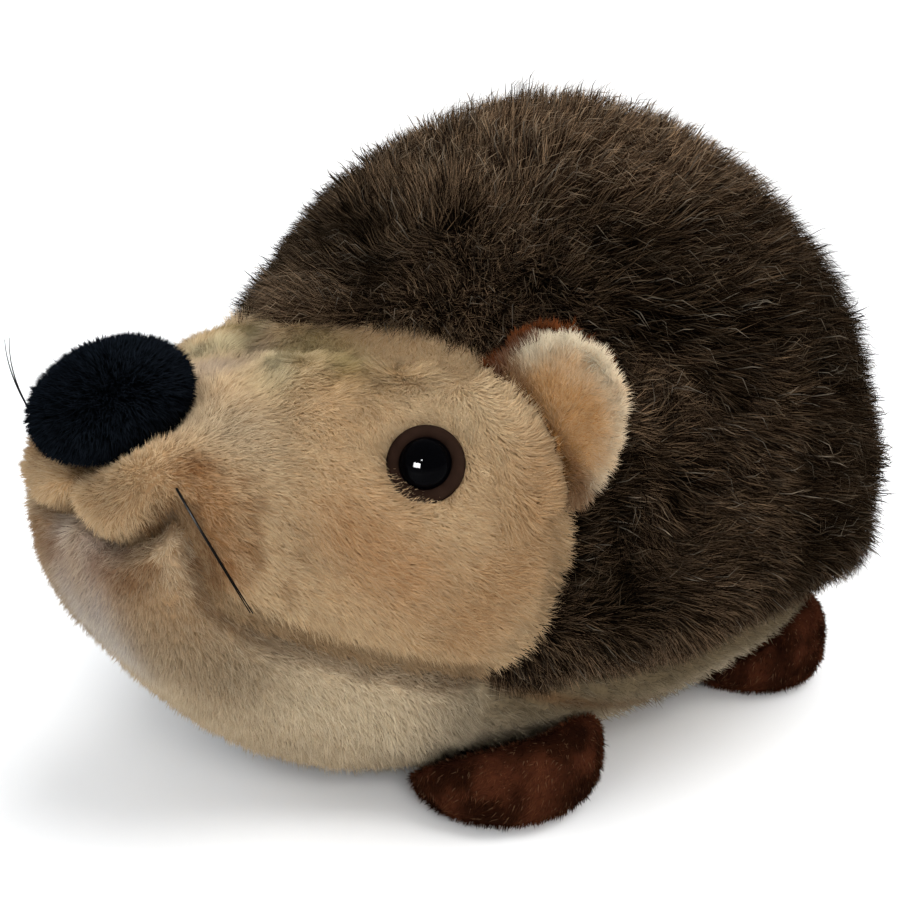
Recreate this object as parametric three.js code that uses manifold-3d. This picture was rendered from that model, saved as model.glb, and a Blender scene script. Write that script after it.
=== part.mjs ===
// A stuffed plush hedgehog, lying flat on its four pad feet with the snout raised.
//
// Millimetres, +Z up. The snout points along -Y and the animal's left side is +X. The body is drawn
// from the tip of the snout ("along" is 0) to the rump, and the whole toy is then centred over the
// origin, with its feet on Z = 0. The solids reach to the tips of the pile.
import * as THREE from "three";
import { ParametricGeometry } from "three/addons/geometries/ParametricGeometry.js";
import { mergeVertices } from "three/addons/utils/BufferGeometryUtils.js";
import Module from "manifold-3d";

const wasm = await Module();
wasm.setup();

// ---- Driving sizes ----------------------------------------------------------------------------

const GAP = 0.3; // clearance between pieces that are sewn together
const EAR_GAP = 0.5; // the coat keeps further from the curved ears
const SOLE = 5; // height of the soles in the frame that these sizes use
const LENGTH = 192; // tip of the snout to the rump, without the long coat

// Cross-sections of the stuffed body under the long coat. "widest" is the height of the widest line
// and "square" the exponent of the superelliptic outline: 2 is a plain ellipse, more is boxier.
const STATIONS = [
  { along: 0, half: 0, top: 73, bottom: 73, widest: 73, square: 2.4 }, // tip of the snout
  { along: 1.5, half: 19.5, top: 80.5, bottom: 57.5, widest: 75, square: 2.4 },
  { along: 5, half: 27, top: 85, bottom: 46.5, widest: 75, square: 2.4 }, // lips
  { along: 10, half: 30.5, top: 88, bottom: 38, widest: 71.5, square: 2.4 },
  { along: 21, half: 32, top: 92, bottom: 23.5, widest: 65, square: 2.4 }, // muzzle
  { along: 30, half: 33.5, top: 95, bottom: 15, widest: 60, square: 2.7 }, // crease before the cheeks
  { along: 41, half: 42, top: 99, bottom: 9.5, widest: 56, square: 2.7 }, // brow
  { along: 61, half: 58, top: 101.5, bottom: 6, widest: 52, square: 2.25 }, // cheeks
  { along: 81, half: 65.5, top: 112, bottom: 5.5, widest: 52, square: 2.2 }, // shoulders
  { along: 105, half: 69, top: 131.5, bottom: 5.5, widest: 52, square: 2.35 },
  { along: 129, half: 70, top: 137, bottom: 6.5, widest: 53, square: 2.25 }, // top of the back
  { along: 153, half: 65.5, top: 127.5, bottom: 10, widest: 53, square: 2.25 },
  { along: 173, half: 55.5, top: 102, bottom: 16.5, widest: 49, square: 2.25 }, // haunches
  { along: 186.5, half: 40, top: 75, bottom: 27, widest: 46, square: 2.2 },
  { along: LENGTH, half: 0, top: 50, bottom: 50, widest: 50, square: 2.2 }, // rump
];
const UNDERSIDE_SQUARE = 0.35; // added to "square" below the widest line, which flattens the belly
const AROUND = 40; // faces round the body
const ALONG = 30; // faces from snout to rump
const SEAM_STEPS = 40; // straight pieces in the outline of each seam

// The long coat over back and sides.
const COAT_DEPTH = 9;
const COAT_EDGE_SHARE = 0.3; // depth left where the coat is cut at a seam
const COAT_ROUNDING = 20; // distance from the seam at which the coat has its full depth

// Seam between face and coat. Seen from the side it is "along" at each height, and seen from above
// it comes forward to a peak in the middle of the forehead.
const FACE_SEAM_SIDE = [
  [-40, 57],
  [37, 58],
  [46, 66.5],
  [58, 72],
  [72, 73.6],
  [86, 71],
  [98, 70],
  [200, 70],
];
const FOREHEAD_PEAK = 41.5;
const FOREHEAD_SLOPE = 0.76;

// Seam of the pale underside, seen from the side: the edge of the jaw, then the hem of the coat.
const HEM = [
  [9, 76.3],
  [10.4, 70],
  [12.4, 60],
  [16.5, 55.3],
  [29, 47],
  [44, 40.6],
  [58, 38],
  [75, 36],
  [100, 35],
  [128, 38],
  [145, 36],
  [165, 32],
  [193, 36],
  [230, 44],
];
const JAW_LENGTH = 58; // the chin piece ends here and the belly begins
const MOUTH_DEPTH = 9; // how far back the mouth reaches

// Upper edge of the mouth, seen from the front: half of a double curve under the two lips.
const MOUTH = [
  [0, 72],
  [5, 69.9],
  [12, 67.2],
  [18, 69.3],
  [28, 76.3],
  [60, 76.3],
];

const NOSE = { at: [0, 10.8, 91.3], radii: [15.3, 17, 11.1], pitch: 0.32 };

const EYE = {
  at: [42.8, 51.7, 80.3],
  facing: [0.62, -0.66, 0.43],
  ringRadius: 7.5,
  ringRise: 1.8,
  ringDepth: 3,
  pupilRadius: 5.1,
  pupilRise: 3.3,
  pupilRim: 0.4,
};

const EAR = {
  at: [50.5, 72.7, 83.1],
  downSeam: [0.63, 0.11, -0.77], // along the seam that the ear is sewn into
  outward: [0.643, 0.482, 0.595],
  halfWidth: 14.5,
  reach: 20.5,
  frontPile: 3.6,
  backPile: 2.6,
  backRise: 1.8, // how far the back is wrapped round the upper edge
  cupping: 3, // how far the rim curls forward
  lean: { left: 0, right: 0.45 }, // the right ear lies flatter against the coat
  clearing: 12, // how far the coat is parted in front of the ears
};

const PAW = { radii: [21.5, 23, 12], centreHeight: 13, squareness: 2.3 };
const PAW_PLACES = [
  { name: "front", at: [42.5, 73], toeOut: 0.35, size: 1 },
  { name: "hind", at: [38, 158.5], toeOut: 0.55, size: 0.93 },
];

const WHISKER = { radius: 0.3, sides: 6, steps: 5 };
const WHISKERS = [
  {
    name: "whisker_left",
    root: [25.9, 8.6, 80.5],
    bend: [36.5, 6.5, 76],
    tips: [
      [34.3, 17.4, 57.1],
      [33.7, 18.4, 56.5],
    ],
  },
  {
    name: "whisker_right",
    root: [-25.9, 8.6, 80.5],
    bend: [-36.4, 6.9, 88.6],
    tips: [
      [-46, 11.4, 95.1],
      [-45.4, 12.2, 95.5],
    ],
  },
];

// ---- Materials --------------------------------------------------------------------------------

const plush = (name, color) =>
  new THREE.MeshStandardMaterial({ name, color, roughness: 0.95, metalness: 0 });
const coatPlush = plush("coat_brown", 0x4a3a2e);
const facePlush = plush("face_tan", 0xc9a06c);
const undersidePlush = plush("underside_cream", 0xc8b595);
const earPlush = plush("ear_sand", 0xd0ab7c);
const russetPlush = plush("plush_russet", 0x5a3323);
const nosePlush = plush("nose_black", 0x0b0d12);
const plastic = (name, color, roughness) =>
  new THREE.MeshStandardMaterial({ name, color, roughness, metalness: 0 });
const eyeRingPlastic = plastic("eye_ring", 0x3f2a22, 0.35);
const pupilPlastic = plastic("eye_black", 0x050507, 0.05);
const whiskerThread = plastic("whisker_thread", 0x1a1a1a, 0.3);

// ---- Geometry helpers -------------------------------------------------------------------------

// A smooth curve through [x, y] pairs that never overshoots them (Fritsch-Carlson).
function smoothThrough(pairs) {
  const slopes = pairs.slice(1).map(([x, y], i) => (y - pairs[i][1]) / (x - pairs[i][0]));
  const tangents = pairs.map((_, i) => {
    if (i === 0) return slopes[0];
    if (i === pairs.length - 1) return slopes[i - 1];
    if (slopes[i - 1] * slopes[i] <= 0) return 0;
    return (2 * slopes[i - 1] * slopes[i]) / (slopes[i - 1] + slopes[i]);
  });
  return (x) => {
    const clamped = THREE.MathUtils.clamp(x, pairs[0][0], pairs.at(-1)[0]);
    const i = Math.max(0, pairs.findIndex(([end]) => end >= clamped) - 1);
    const [x0, y0] = pairs[i];
    const [x1, y1] = pairs[i + 1];
    const span = x1 - x0;
    const t = (clamped - x0) / span;
    return (
      y0 * (1 + 2 * t) * (1 - t) ** 2 +
      tangents[i] * span * t * (1 - t) ** 2 +
      y1 * t ** 2 * (3 - 2 * t) -
      tangents[i + 1] * span * t ** 2 * (1 - t)
    );
  };
}

// A closed three.js geometry as a solid, with its faces turned outwards.
function solidOf(geometry) {
  const bare = new THREE.BufferGeometry();
  bare.setAttribute("position", geometry.getAttribute("position"));
  bare.setIndex(geometry.index);
  const merged = mergeVertices(bare, 1e-3);
  const corners = [];
  for (let i = 0; i < merged.index.count; i += 3) {
    const [a, b, c] = [0, 1, 2].map((k) => merged.index.getX(i + k));
    if (a !== b && b !== c && c !== a) corners.push([a, b, c]);
  }
  const make = (faces) =>
    new wasm.Manifold(
      new wasm.Mesh({
        numProp: 3,
        vertProperties: new Float32Array(merged.attributes.position.array),
        triVerts: Uint32Array.from(faces.flat()),
      }),
    );
  const made = make(corners);
  return made.volume() < 0 ? make(corners.map(([a, b, c]) => [a, c, b])) : made;
}

const cut = (solid, ...tools) => tools.reduce((left, tool) => left.subtract(tool), solid);

// A solid as a named mesh.
function meshOf(name, solid, material) {
  const { numProp, vertProperties, triVerts, numVert } = solid.getMesh();
  const positions = new Float32Array(numVert * 3);
  for (let i = 0; i < numVert; i++) {
    positions.set(vertProperties.subarray(i * numProp, i * numProp + 3), i * 3);
  }
  const geometry = new THREE.BufferGeometry();
  geometry.setAttribute("position", new THREE.BufferAttribute(positions, 3));
  geometry.setIndex(new THREE.BufferAttribute(triVerts, 1));
  geometry.computeVertexNormals();
  const mesh = new THREE.Mesh(geometry, material);
  mesh.name = name;
  return mesh;
}

// A flat outline pushed along its normal: right and up are the outline's own axes in space.
function prism(outline, depth, right, up, origin) {
  const shape = new THREE.Shape(outline.map(([x, y]) => new THREE.Vector2(x, y)));
  const [x, y] = [new THREE.Vector3(...right), new THREE.Vector3(...up)];
  const frame = new THREE.Matrix4().makeBasis(x, y, x.clone().cross(y)).setPosition(...origin);
  const geometry = new THREE.ExtrudeGeometry(shape, { depth, bevelEnabled: false });
  return solidOf(geometry.applyMatrix4(frame));
}

const steps = (from, to, count) =>
  Array.from({ length: count + 1 }, (_, i) => from + ((to - from) * i) / count);
const mirrored = ([x, y, z], side) => new THREE.Vector3(x * side, y, z);
const sideName = (side) => (side > 0 ? "left" : "right");

// ---- Stuffed body -----------------------------------------------------------------------------

const sectionSize = Object.fromEntries(
  ["half", "top", "bottom", "widest", "square"].map((size) => [
    size,
    smoothThrough(STATIONS.map((station) => [station.along, station[size]])),
  ]),
);

function skinPoint(along, angle) {
  const [c, s] = [Math.cos(angle), Math.sin(angle)];
  const square = sectionSize.square(along) + (s < 0 ? UNDERSIDE_SQUARE : 0);
  const reach = (Math.abs(c) ** square + Math.abs(s) ** square) ** (-1 / square);
  const widest = sectionSize.widest(along);
  const rise = s > 0 ? sectionSize.top(along) - widest : widest - sectionSize.bottom(along);
  return new THREE.Vector3(sectionSize.half(along) * reach * c, along, widest + rise * reach * s);
}

function skinNormal(along, angle) {
  const [before, after] = [Math.max(0, along - 0.5), Math.min(LENGTH, along + 0.5)];
  const lengthwise = skinPoint(after, angle).sub(skinPoint(before, angle));
  const crosswise = skinPoint(along, angle + 0.01).sub(skinPoint(along, angle - 0.01));
  const normal = lengthwise.cross(crosswise);
  return normal.lengthSq() > 1e-12 ? normal.normalize() : new THREE.Vector3(0, along ? 1 : -1, 0);
}

// The body's surface pushed out by depthAt(point), as a solid.
function bodyShell(depthAt) {
  const surface = (u, v, target) => {
    const along = (LENGTH * (1 - Math.cos(Math.PI * v))) / 2;
    const angle = 2 * Math.PI * u;
    const point = skinPoint(along, angle);
    target.copy(point).addScaledVector(skinNormal(along, angle), depthAt(point));
  };
  return solidOf(new ParametricGeometry(surface, AROUND, ALONG));
}

// ---- Seams ------------------------------------------------------------------------------------

const SPAN = 160; // further than any point of the body from the middle plane
const faceSeamSide = smoothThrough(FACE_SEAM_SIDE);
const faceSeamPlan = (x) => FOREHEAD_PEAK + FOREHEAD_SLOPE * Math.abs(x);
const hemHeight = smoothThrough(HEM);
const mouthHeight = smoothThrough(MOUTH);

// Everything in front of the seam between face and coat.
function faceRegion(gap) {
  const heights = steps(FACE_SEAM_SIDE[0][0], FACE_SEAM_SIDE.at(-1)[0], SEAM_STEPS);
  const side = [
    [-SPAN, heights[0]],
    ...heights.map((height) => [faceSeamSide(height) + gap, height]),
    [-SPAN, heights.at(-1)],
  ];
  const plan = [
    [-SPAN, -SPAN],
    [SPAN, -SPAN],
    [SPAN, faceSeamPlan(SPAN) + gap],
    [0, faceSeamPlan(0) + gap],
    [-SPAN, faceSeamPlan(SPAN) + gap],
  ];
  return prism(side, 2 * SPAN, [0, 1, 0], [0, 0, 1], [-SPAN, 0, 0]).intersect(
    prism(plan, 2 * SPAN, [1, 0, 0], [0, 1, 0], [0, 0, -SPAN / 2]),
  );
}

// Everything below the mouth, the edge of the jaw and the hem of the coat.
function undersideRegion(gap) {
  const [start, end] = [HEM[0][0], HEM.at(-1)[0]];
  const places = steps(0, 1, SEAM_STEPS).map((t) => start + (end - start) * t ** 2);
  const side = [
    [start - 2, -SPAN],
    [end, -SPAN],
    ...places.map((along) => [along + gap, hemHeight(along) + gap]).reverse(),
    [start - 2, hemHeight(start) + gap],
  ];
  const edge = MOUTH.at(-1)[0];
  const across = steps(-edge, edge, SEAM_STEPS);
  const front = [
    [-edge, -SPAN],
    [edge, -SPAN],
    ...across.map((x) => [x, mouthHeight(Math.abs(x)) + gap]).reverse(),
  ];
  return prism(side, 2 * SPAN, [0, 1, 0], [0, 0, 1], [-SPAN, 0, 0]).add(
    prism(front, SPAN, [1, 0, 0], [0, 0, 1], [0, MOUTH_DEPTH + gap, 0]),
  );
}

// A wide rectangle seen from above, from one distance along the body to another.
const block = (from, to) => [
  [-SPAN, from],
  [SPAN, from],
  [SPAN, to],
  [-SPAN, to],
];

// The slice of space from one distance along the body to another.
const slab = (from, to) =>
  prism(block(from, to), 2 * SPAN, [1, 0, 0], [0, 1, 0], [0, 0, -SPAN / 2]);

// Depth of the long coat, which rounds off towards the seams that end it.
function coatDepth(point) {
  const behindFace = point.y - Math.min(faceSeamSide(point.z), faceSeamPlan(point.x));
  const aboveHem = point.z - hemHeight(point.y);
  const t = THREE.MathUtils.clamp(Math.min(behindFace, aboveHem) / COAT_ROUNDING, 0, 1);
  return COAT_DEPTH * (COAT_EDGE_SHARE + (1 - COAT_EDGE_SHARE) * Math.sqrt(1 - (1 - t) ** 2));
}

// ---- Parts ------------------------------------------------------------------------------------

function noseSolid(gap) {
  const [x, y, z] = NOSE.radii.map((radius) => radius + gap);
  const pad = new THREE.SphereGeometry(1, 22, 12).scale(x, y, z).rotateX(NOSE.pitch);
  return solidOf(pad.translate(...NOSE.at));
}

// A turned piece whose axis stands on the cheek at the eye.
function turnedAtEye(profile, side) {
  const facing = mirrored(EYE.facing, side).normalize();
  const turn = new THREE.Quaternion().setFromUnitVectors(new THREE.Vector3(0, 1, 0), facing);
  const turned = new THREE.LatheGeometry(profile.map(([r, h]) => new THREE.Vector2(r, h)), 20);
  return solidOf(turned.applyQuaternion(turn).translate(...mirrored(EYE.at, side)));
}

const eyeRing = (side) => {
  const rim = steps(0, Math.PI / 2, 3).map((t) => [
    EYE.pupilRadius + (EYE.ringRadius - EYE.pupilRadius) * Math.cos(t),
    EYE.ringRise * Math.sin(t),
  ]);
  const shank = [[0, -EYE.ringDepth], [EYE.ringRadius, -EYE.ringDepth]];
  return turnedAtEye([...shank, ...rim, [0, EYE.ringRise]], side);
};

const eyePupil = (side) => {
  const foot = EYE.ringRise + GAP;
  const dome = steps(0, Math.PI / 2, 4).map((t) => [
    EYE.pupilRadius * Math.cos(t),
    foot + EYE.pupilRim + EYE.pupilRise * Math.sin(t),
  ]);
  dome.at(-1)[0] = 0;
  return turnedAtEye([[0, foot], [EYE.pupilRadius, foot], ...dome], side);
};

const eyeSeat = (side) => {
  const [radius, depth] = [EYE.ringRadius + GAP, EYE.ringDepth + GAP];
  return turnedAtEye([[0, -depth], [radius, -depth], [radius, 20], [0, 20]], side);
};

// A cupped, rounded ear shape: front and back are its depths to each side of a bent middle surface.
function earSolid(side, { middle, front, back, rise = 0, gap = 0 }) {
  const down = mirrored(EAR.downSeam, side).normalize();
  const lean = -side * EAR.lean[sideName(side)];
  const outward = mirrored(EAR.outward, side).normalize().applyAxisAngle(down, lean);
  const forward = new THREE.Vector3().crossVectors(down, outward).multiplyScalar(side);
  const surface = (u, v, target) => {
    const turn = 2 * Math.PI * u;
    const [radial, depth] = [Math.sin(Math.PI * v), Math.cos(Math.PI * v)];
    const along = (EAR.halfWidth + gap) * radial * Math.cos(turn) - rise;
    const reach = (EAR.reach + gap) * radial * Math.sin(turn) + rise / 2;
    const cup = EAR.cupping * ((along / EAR.halfWidth) ** 2 + (reach / EAR.reach) ** 2 - 0.5);
    target
      .copy(mirrored(EAR.at, side))
      .addScaledVector(down, along)
      .addScaledVector(outward, reach)
      .addScaledVector(forward, middle + cup + depth * (depth > 0 ? front + gap : back + gap));
  };
  return solidOf(new ParametricGeometry(surface, 20, 10));
}

const earFront = (side) => earSolid(side, { middle: GAP / 2, front: EAR.frontPile, back: 0 });
const earBack = (side) =>
  earSolid(side, { middle: -GAP / 2, front: 0, back: EAR.backPile, rise: EAR.backRise });

// The room that an ear takes in the coat.
function earSeat(side) {
  const clearing = { middle: 0, front: EAR.frontPile + EAR.clearing, back: EAR.backPile, gap: EAR_GAP };
  return earSolid(side, clearing).add(earSolid(side, { ...clearing, rise: EAR.backRise }));
}

// A stuffed pad foot with a flat sole.
function pawSolid({ at, toeOut, size }, side) {
  const surface = (u, v, target) => {
    const [turn, tilt] = [2 * Math.PI * u, Math.PI * (v - 0.5)];
    const power = (value) => Math.sign(value) * Math.abs(value) ** (2 / PAW.squareness);
    target.set(
      PAW.radii[0] * power(Math.cos(tilt)) * Math.cos(turn),
      PAW.radii[1] * power(Math.cos(tilt)) * Math.sin(turn),
      PAW.radii[2] * power(Math.sin(tilt)),
    );
  };
  const pad = new ParametricGeometry(surface, 18, 9).scale(size, size, 1).rotateZ(side * toeOut);
  pad.translate(at[0] * side, at[1], PAW.centreHeight);
  const floor = prism(
    block(-SPAN, 2 * SPAN),
    SPAN,
    [1, 0, 0],
    [0, 1, 0],
    [0, 0, SOLE - SPAN],
  );
  return cut(solidOf(pad), floor);
}

// Two stiff threads that leave the muzzle at one root.
function whiskerSolid({ root, bend, tips }) {
  const section = new THREE.Shape(
    steps(0, WHISKER.sides - 1, WHISKER.sides - 1).map((i) => {
      const turn = (2 * Math.PI * i) / WHISKER.sides;
      return new THREE.Vector2(Math.cos(turn), Math.sin(turn)).multiplyScalar(WHISKER.radius);
    }),
  );
  const threads = tips.map((tip) => {
    const ends = [root, bend, tip].map((place) => new THREE.Vector3(...place));
    const extrudePath = new THREE.QuadraticBezierCurve3(...ends);
    return solidOf(new THREE.ExtrudeGeometry(section, { steps: WHISKER.steps, extrudePath }));
  });
  return threads[0].add(threads[1]);
}

// ---- Assembly ---------------------------------------------------------------------------------

const body = bodyShell(() => 0);
const grownBody = bodyShell(() => GAP);
const sides = [1, -1];
const seats = [noseSolid(GAP), ...sides.map(eyeSeat)];

const underside = body.intersect(undersideRegion(0));
const pieces = [
  ["head", cut(body.intersect(faceRegion(0)), undersideRegion(GAP), ...seats), facePlush],
  ["chin", cut(underside.intersect(slab(-SPAN, JAW_LENGTH)), noseSolid(GAP)), undersidePlush],
  ["belly", underside.intersect(slab(JAW_LENGTH + GAP, 2 * SPAN)), undersidePlush],
  ["nose", noseSolid(0), nosePlush],
];

const coatedBody = bodyShell(coatDepth);
const coatSeats = [faceRegion(GAP), undersideRegion(GAP), ...sides.map(earSeat)];
pieces.push(["trunk", cut(coatedBody, ...coatSeats), coatPlush]);

for (const side of sides) {
  const name = sideName(side);
  pieces.push([`ear_${name}_front`, cut(earFront(side), grownBody), earPlush]);
  pieces.push([`ear_${name}_back`, cut(earBack(side), grownBody), russetPlush]);
  pieces.push([`eye_${name}_ring`, eyeRing(side), eyeRingPlastic]);
  pieces.push([`eye_${name}_pupil`, eyePupil(side), pupilPlastic]);
  for (const place of PAW_PLACES) {
    pieces.push([`paw_${place.name}_${name}`, cut(pawSolid(place, side), grownBody), russetPlush]);
  }
}

for (const whisker of WHISKERS) {
  pieces.push([whisker.name, cut(whiskerSolid(whisker), grownBody), whiskerThread]);
}

const toy = new THREE.Group();
for (const [name, solid, material] of pieces) {
  toy.add(meshOf(name, solid, material));
}
const middle = new THREE.Box3().setFromObject(toy, true).getCenter(new THREE.Vector3());
toy.position.set(-middle.x, -middle.y, -SOLE);

const hedgehog = new THREE.Group();
hedgehog.add(toy);
export default hedgehog;
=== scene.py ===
"""A stuffed plush hedgehog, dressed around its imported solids.

The solids give every piece its place and size. The stuffed body, ears, paws and
nose each get a cloth skin that is swelled by its filling, and every fabric gets
its pile as joined mesh locks rooted on that skin.

Unless a docstring says metres, a place is (x, behind, above) in millimetres:
across the middle plane, behind the tip of the snout, and above the floor.
"""

from __future__ import annotations

import logging
import math
from dataclasses import dataclass, field, replace
from enum import Enum
from typing import Callable, Sequence

import bmesh
import bpy
import numpy as np
from bpy.types import Material, Mesh, Object
from mathutils import Matrix, Vector
from mathutils.bvhtree import BVHTree
from mathutils.kdtree import KDTree

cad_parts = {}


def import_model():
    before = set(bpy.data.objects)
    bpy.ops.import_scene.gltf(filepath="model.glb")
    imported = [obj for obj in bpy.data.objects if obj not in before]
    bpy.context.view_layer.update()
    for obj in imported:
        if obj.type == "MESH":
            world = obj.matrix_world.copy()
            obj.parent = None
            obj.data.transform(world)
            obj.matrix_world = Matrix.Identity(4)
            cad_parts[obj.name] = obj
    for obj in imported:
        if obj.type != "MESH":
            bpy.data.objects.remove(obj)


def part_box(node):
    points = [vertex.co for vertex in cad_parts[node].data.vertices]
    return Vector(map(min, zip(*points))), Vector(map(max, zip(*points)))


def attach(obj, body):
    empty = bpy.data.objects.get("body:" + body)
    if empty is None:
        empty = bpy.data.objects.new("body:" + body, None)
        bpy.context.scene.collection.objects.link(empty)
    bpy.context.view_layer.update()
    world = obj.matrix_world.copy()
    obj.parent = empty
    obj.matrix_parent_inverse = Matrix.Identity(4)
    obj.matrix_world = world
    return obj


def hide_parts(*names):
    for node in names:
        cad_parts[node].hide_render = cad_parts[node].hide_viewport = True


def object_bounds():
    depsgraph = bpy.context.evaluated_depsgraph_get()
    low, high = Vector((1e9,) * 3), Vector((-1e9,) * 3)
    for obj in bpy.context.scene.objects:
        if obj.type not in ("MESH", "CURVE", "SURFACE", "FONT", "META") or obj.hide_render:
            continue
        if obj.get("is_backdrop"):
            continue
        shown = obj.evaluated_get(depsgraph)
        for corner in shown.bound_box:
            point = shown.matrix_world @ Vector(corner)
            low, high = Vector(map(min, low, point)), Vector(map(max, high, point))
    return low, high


LOG = logging.getLogger("plush_hedgehog")

MM = 0.001
BODY = "root"
DYE = "dye"
BAKE_MAP = "OFBake"

NOISE_SPAN = (0.25, 0.75)

Place = tuple[float, float, float]
Socket = bpy.types.NodeSocket
PlaceRule = Callable[[np.ndarray], np.ndarray]


class Side(Enum):
    """A side of the toy, with the sign of its x."""

    LEFT = 1
    RIGHT = -1

    @property
    def word(self) -> str:
        """The side as the names of pieces say it."""
        return self.name.lower()

    @property
    def mirror(self) -> np.ndarray:
        """The factors that turn a place on the left into its like on this side."""
        return np.array([self.value, 1, 1])


# ---- Measuring -------------------------------------------------------------


@dataclass(frozen=True)
class Datum:
    """The measuring point of the toy: the tip of the snout, in metres along y."""

    tip: float

    @classmethod
    def from_frame(cls) -> Datum:
        """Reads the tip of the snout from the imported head."""
        return cls(tip=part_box("head")[0].y)

    def to_metres(self, places: np.ndarray) -> np.ndarray:
        """Turns places in millimetres into points of the frame in metres."""
        return np.asarray(places, float) * MM + (0.0, self.tip, 0.0)

    def to_places(self, points: np.ndarray) -> np.ndarray:
        """Turns points of the frame in metres into places in millimetres."""
        return (np.asarray(points, float) - (0.0, self.tip, 0.0)) / MM


def unit(vectors: np.ndarray) -> np.ndarray:
    """Scales each row to length one."""
    lengths = np.linalg.norm(vectors, axis=-1, keepdims=True)
    return vectors / np.maximum(lengths, 1e-9)


def smoothstep(low: float, high: float, values: np.ndarray) -> np.ndarray:
    """Rises smoothly from 0 at low to 1 at high."""
    share = np.clip((np.asarray(values, float) - low) / (high - low), 0.0, 1.0)
    return share * share * (3.0 - 2.0 * share)


def mix(first: np.ndarray, second: np.ndarray, share: np.ndarray) -> np.ndarray:
    """Blends two rows of colours or vectors by a share for each row."""
    weight = np.asarray(share, float)[..., None]
    return first * (1.0 - weight) + second * weight


def linear(colour: str) -> np.ndarray:
    """Turns a hexadecimal colour such as "#c9a06c" into linear red, green, blue."""
    values = np.array([int(colour[i : i + 2], 16) / 255 for i in (1, 3, 5)])
    return np.where(values <= 0.04045, values / 12.92, ((values + 0.055) / 1.055) ** 2.4)


def evenly(colour: str, count: int) -> np.ndarray:
    """Gives one linear colour, row by row."""
    return np.tile(linear(colour), (count, 1))


def distance_to_line(places: np.ndarray, line: Sequence[Place]) -> np.ndarray:
    """Measures each place's distance to a line through points.

    Args:
        places: The places to measure from.
        line: One point, or the corners of the line in order.

    Returns:
        The shortest distance of each place, in millimetres.
    """
    corners = np.array(line, float)
    if len(corners) == 1:
        return np.linalg.norm(places - corners[0], axis=1)
    nearest = np.full(len(places), np.inf)
    for start, end in zip(corners[:-1], corners[1:]):
        run = end - start
        share = np.clip((places - start) @ run / (run @ run), 0.0, 1.0)
        gap = np.linalg.norm(places - start - share[:, None] * run, axis=1)
        nearest = np.minimum(nearest, gap)
    return nearest


class Grain:
    """Smooth noise over space that is the same at every run."""

    CELLS = 24

    def __init__(self, seed: int, size: float) -> None:
        """Draws the lattice.

        Args:
            seed: Which noise this is.
            size: Distance between its hills, in millimetres.
        """
        shape = (self.CELLS, self.CELLS, self.CELLS, 3)
        self.lattice = np.random.default_rng(seed).uniform(-1.0, 1.0, shape)
        self.size = size

    def vectors(self, places: np.ndarray) -> np.ndarray:
        """Gives three values from -1 to 1 for each place.

        Args:
            places: Places in millimetres.

        Returns:
            One row for each place.
        """
        cells = places / self.size
        corner = np.floor(cells).astype(int)
        inside = cells - corner
        inside = inside * inside * (3.0 - 2.0 * inside)
        total = np.zeros((len(places), 3))
        for step in np.ndindex(2, 2, 2):
            weight = np.prod(np.where(step, inside, 1.0 - inside), axis=1)
            index = (corner + step) % self.CELLS
            total += weight[:, None] * self.lattice[tuple(index.T)]
        return total

    def values(self, places: np.ndarray) -> np.ndarray:
        """Gives one value from -1 to 1 for each place."""
        return self.vectors(places)[:, 0]


class Noise(Enum):
    """The toy's noises: which one each is, and the distance between its hills."""

    FACE_WARMTH = (3, 14.0)
    SPECKS = (4, 3.4)
    FINE_SPECKS = (5, 1.6)
    COAT_MOTTLE = (6, 9.0)
    FINE_COAT_MOTTLE = (7, 4.0)
    COAT_WAVES = (11, 17.0)
    COAT_CURLS = (12, 6.5)
    SHORT_WAVES = (13, 9.0)
    SHORT_CURLS = (14, 3.5)
    COAT_LENGTH = (15, 8.0)
    SHORT_LENGTH = (16, 5.0)
    COAT_LIFT = (17, 10.0)
    SHORT_LIFT = (18, 5.0)
    COAT_FRIZZ = (19, 3.2)
    EAR_RIM = (21, 4.0)
    EAR_MOTTLE = (22, 4.0)
    EAR_CURLS = (23, 3.5)
    PAW_MOTTLE = (31, 6.0)
    FINE_PAW_MOTTLE = (32, 2.2)
    PAW_CURLS = (33, 5.0)

    def vectors(self, places: np.ndarray) -> np.ndarray:
        """Gives three values from -1 to 1 for each place."""
        return Grain(*self.value).vectors(places)

    def values(self, places: np.ndarray) -> np.ndarray:
        """Gives one value from -1 to 1 for each place."""
        return Grain(*self.value).values(places)


# ---- Mesh helpers ----------------------------------------------------------


def select_only(piece: Object) -> None:
    """Selects one object and makes it active, with everything else deselected.

    Args:
        piece: The object.
    """
    for other in bpy.context.selected_objects:
        other.select_set(False)
    piece.select_set(True)
    bpy.context.view_layer.objects.active = piece


def points_of(mesh: Mesh) -> np.ndarray:
    """Reads a mesh's points in metres.

    Args:
        mesh: The mesh.

    Returns:
        One row for each point.
    """
    points = np.empty(len(mesh.vertices) * 3, np.float32)
    mesh.vertices.foreach_get("co", points)
    return points.reshape(-1, 3).astype(float)


def set_points(mesh: Mesh, points: np.ndarray) -> None:
    """Writes a mesh's points in metres."""
    mesh.vertices.foreach_set("co", np.asarray(points, np.float32).ravel())
    mesh.update()


def normals_of(mesh: Mesh) -> np.ndarray:
    """Reads the smooth normals at a mesh's points.

    Args:
        mesh: The mesh.

    Returns:
        One unit row for each point.
    """
    normals = np.empty(len(mesh.vertices) * 3, np.float32)
    mesh.vertices.foreach_get("normal", normals)
    return unit(normals.reshape(-1, 3).astype(float))


def triangles_of(mesh: Mesh) -> np.ndarray:
    """Reads a mesh as triangles of point numbers.

    Args:
        mesh: The mesh.

    Returns:
        One row of three numbers for each triangle.
    """
    mesh.calc_loop_triangles()
    corners = np.empty(len(mesh.loop_triangles) * 3, np.int32)
    mesh.loop_triangles.foreach_get("vertices", corners)
    return corners.reshape(-1, 3)


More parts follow.
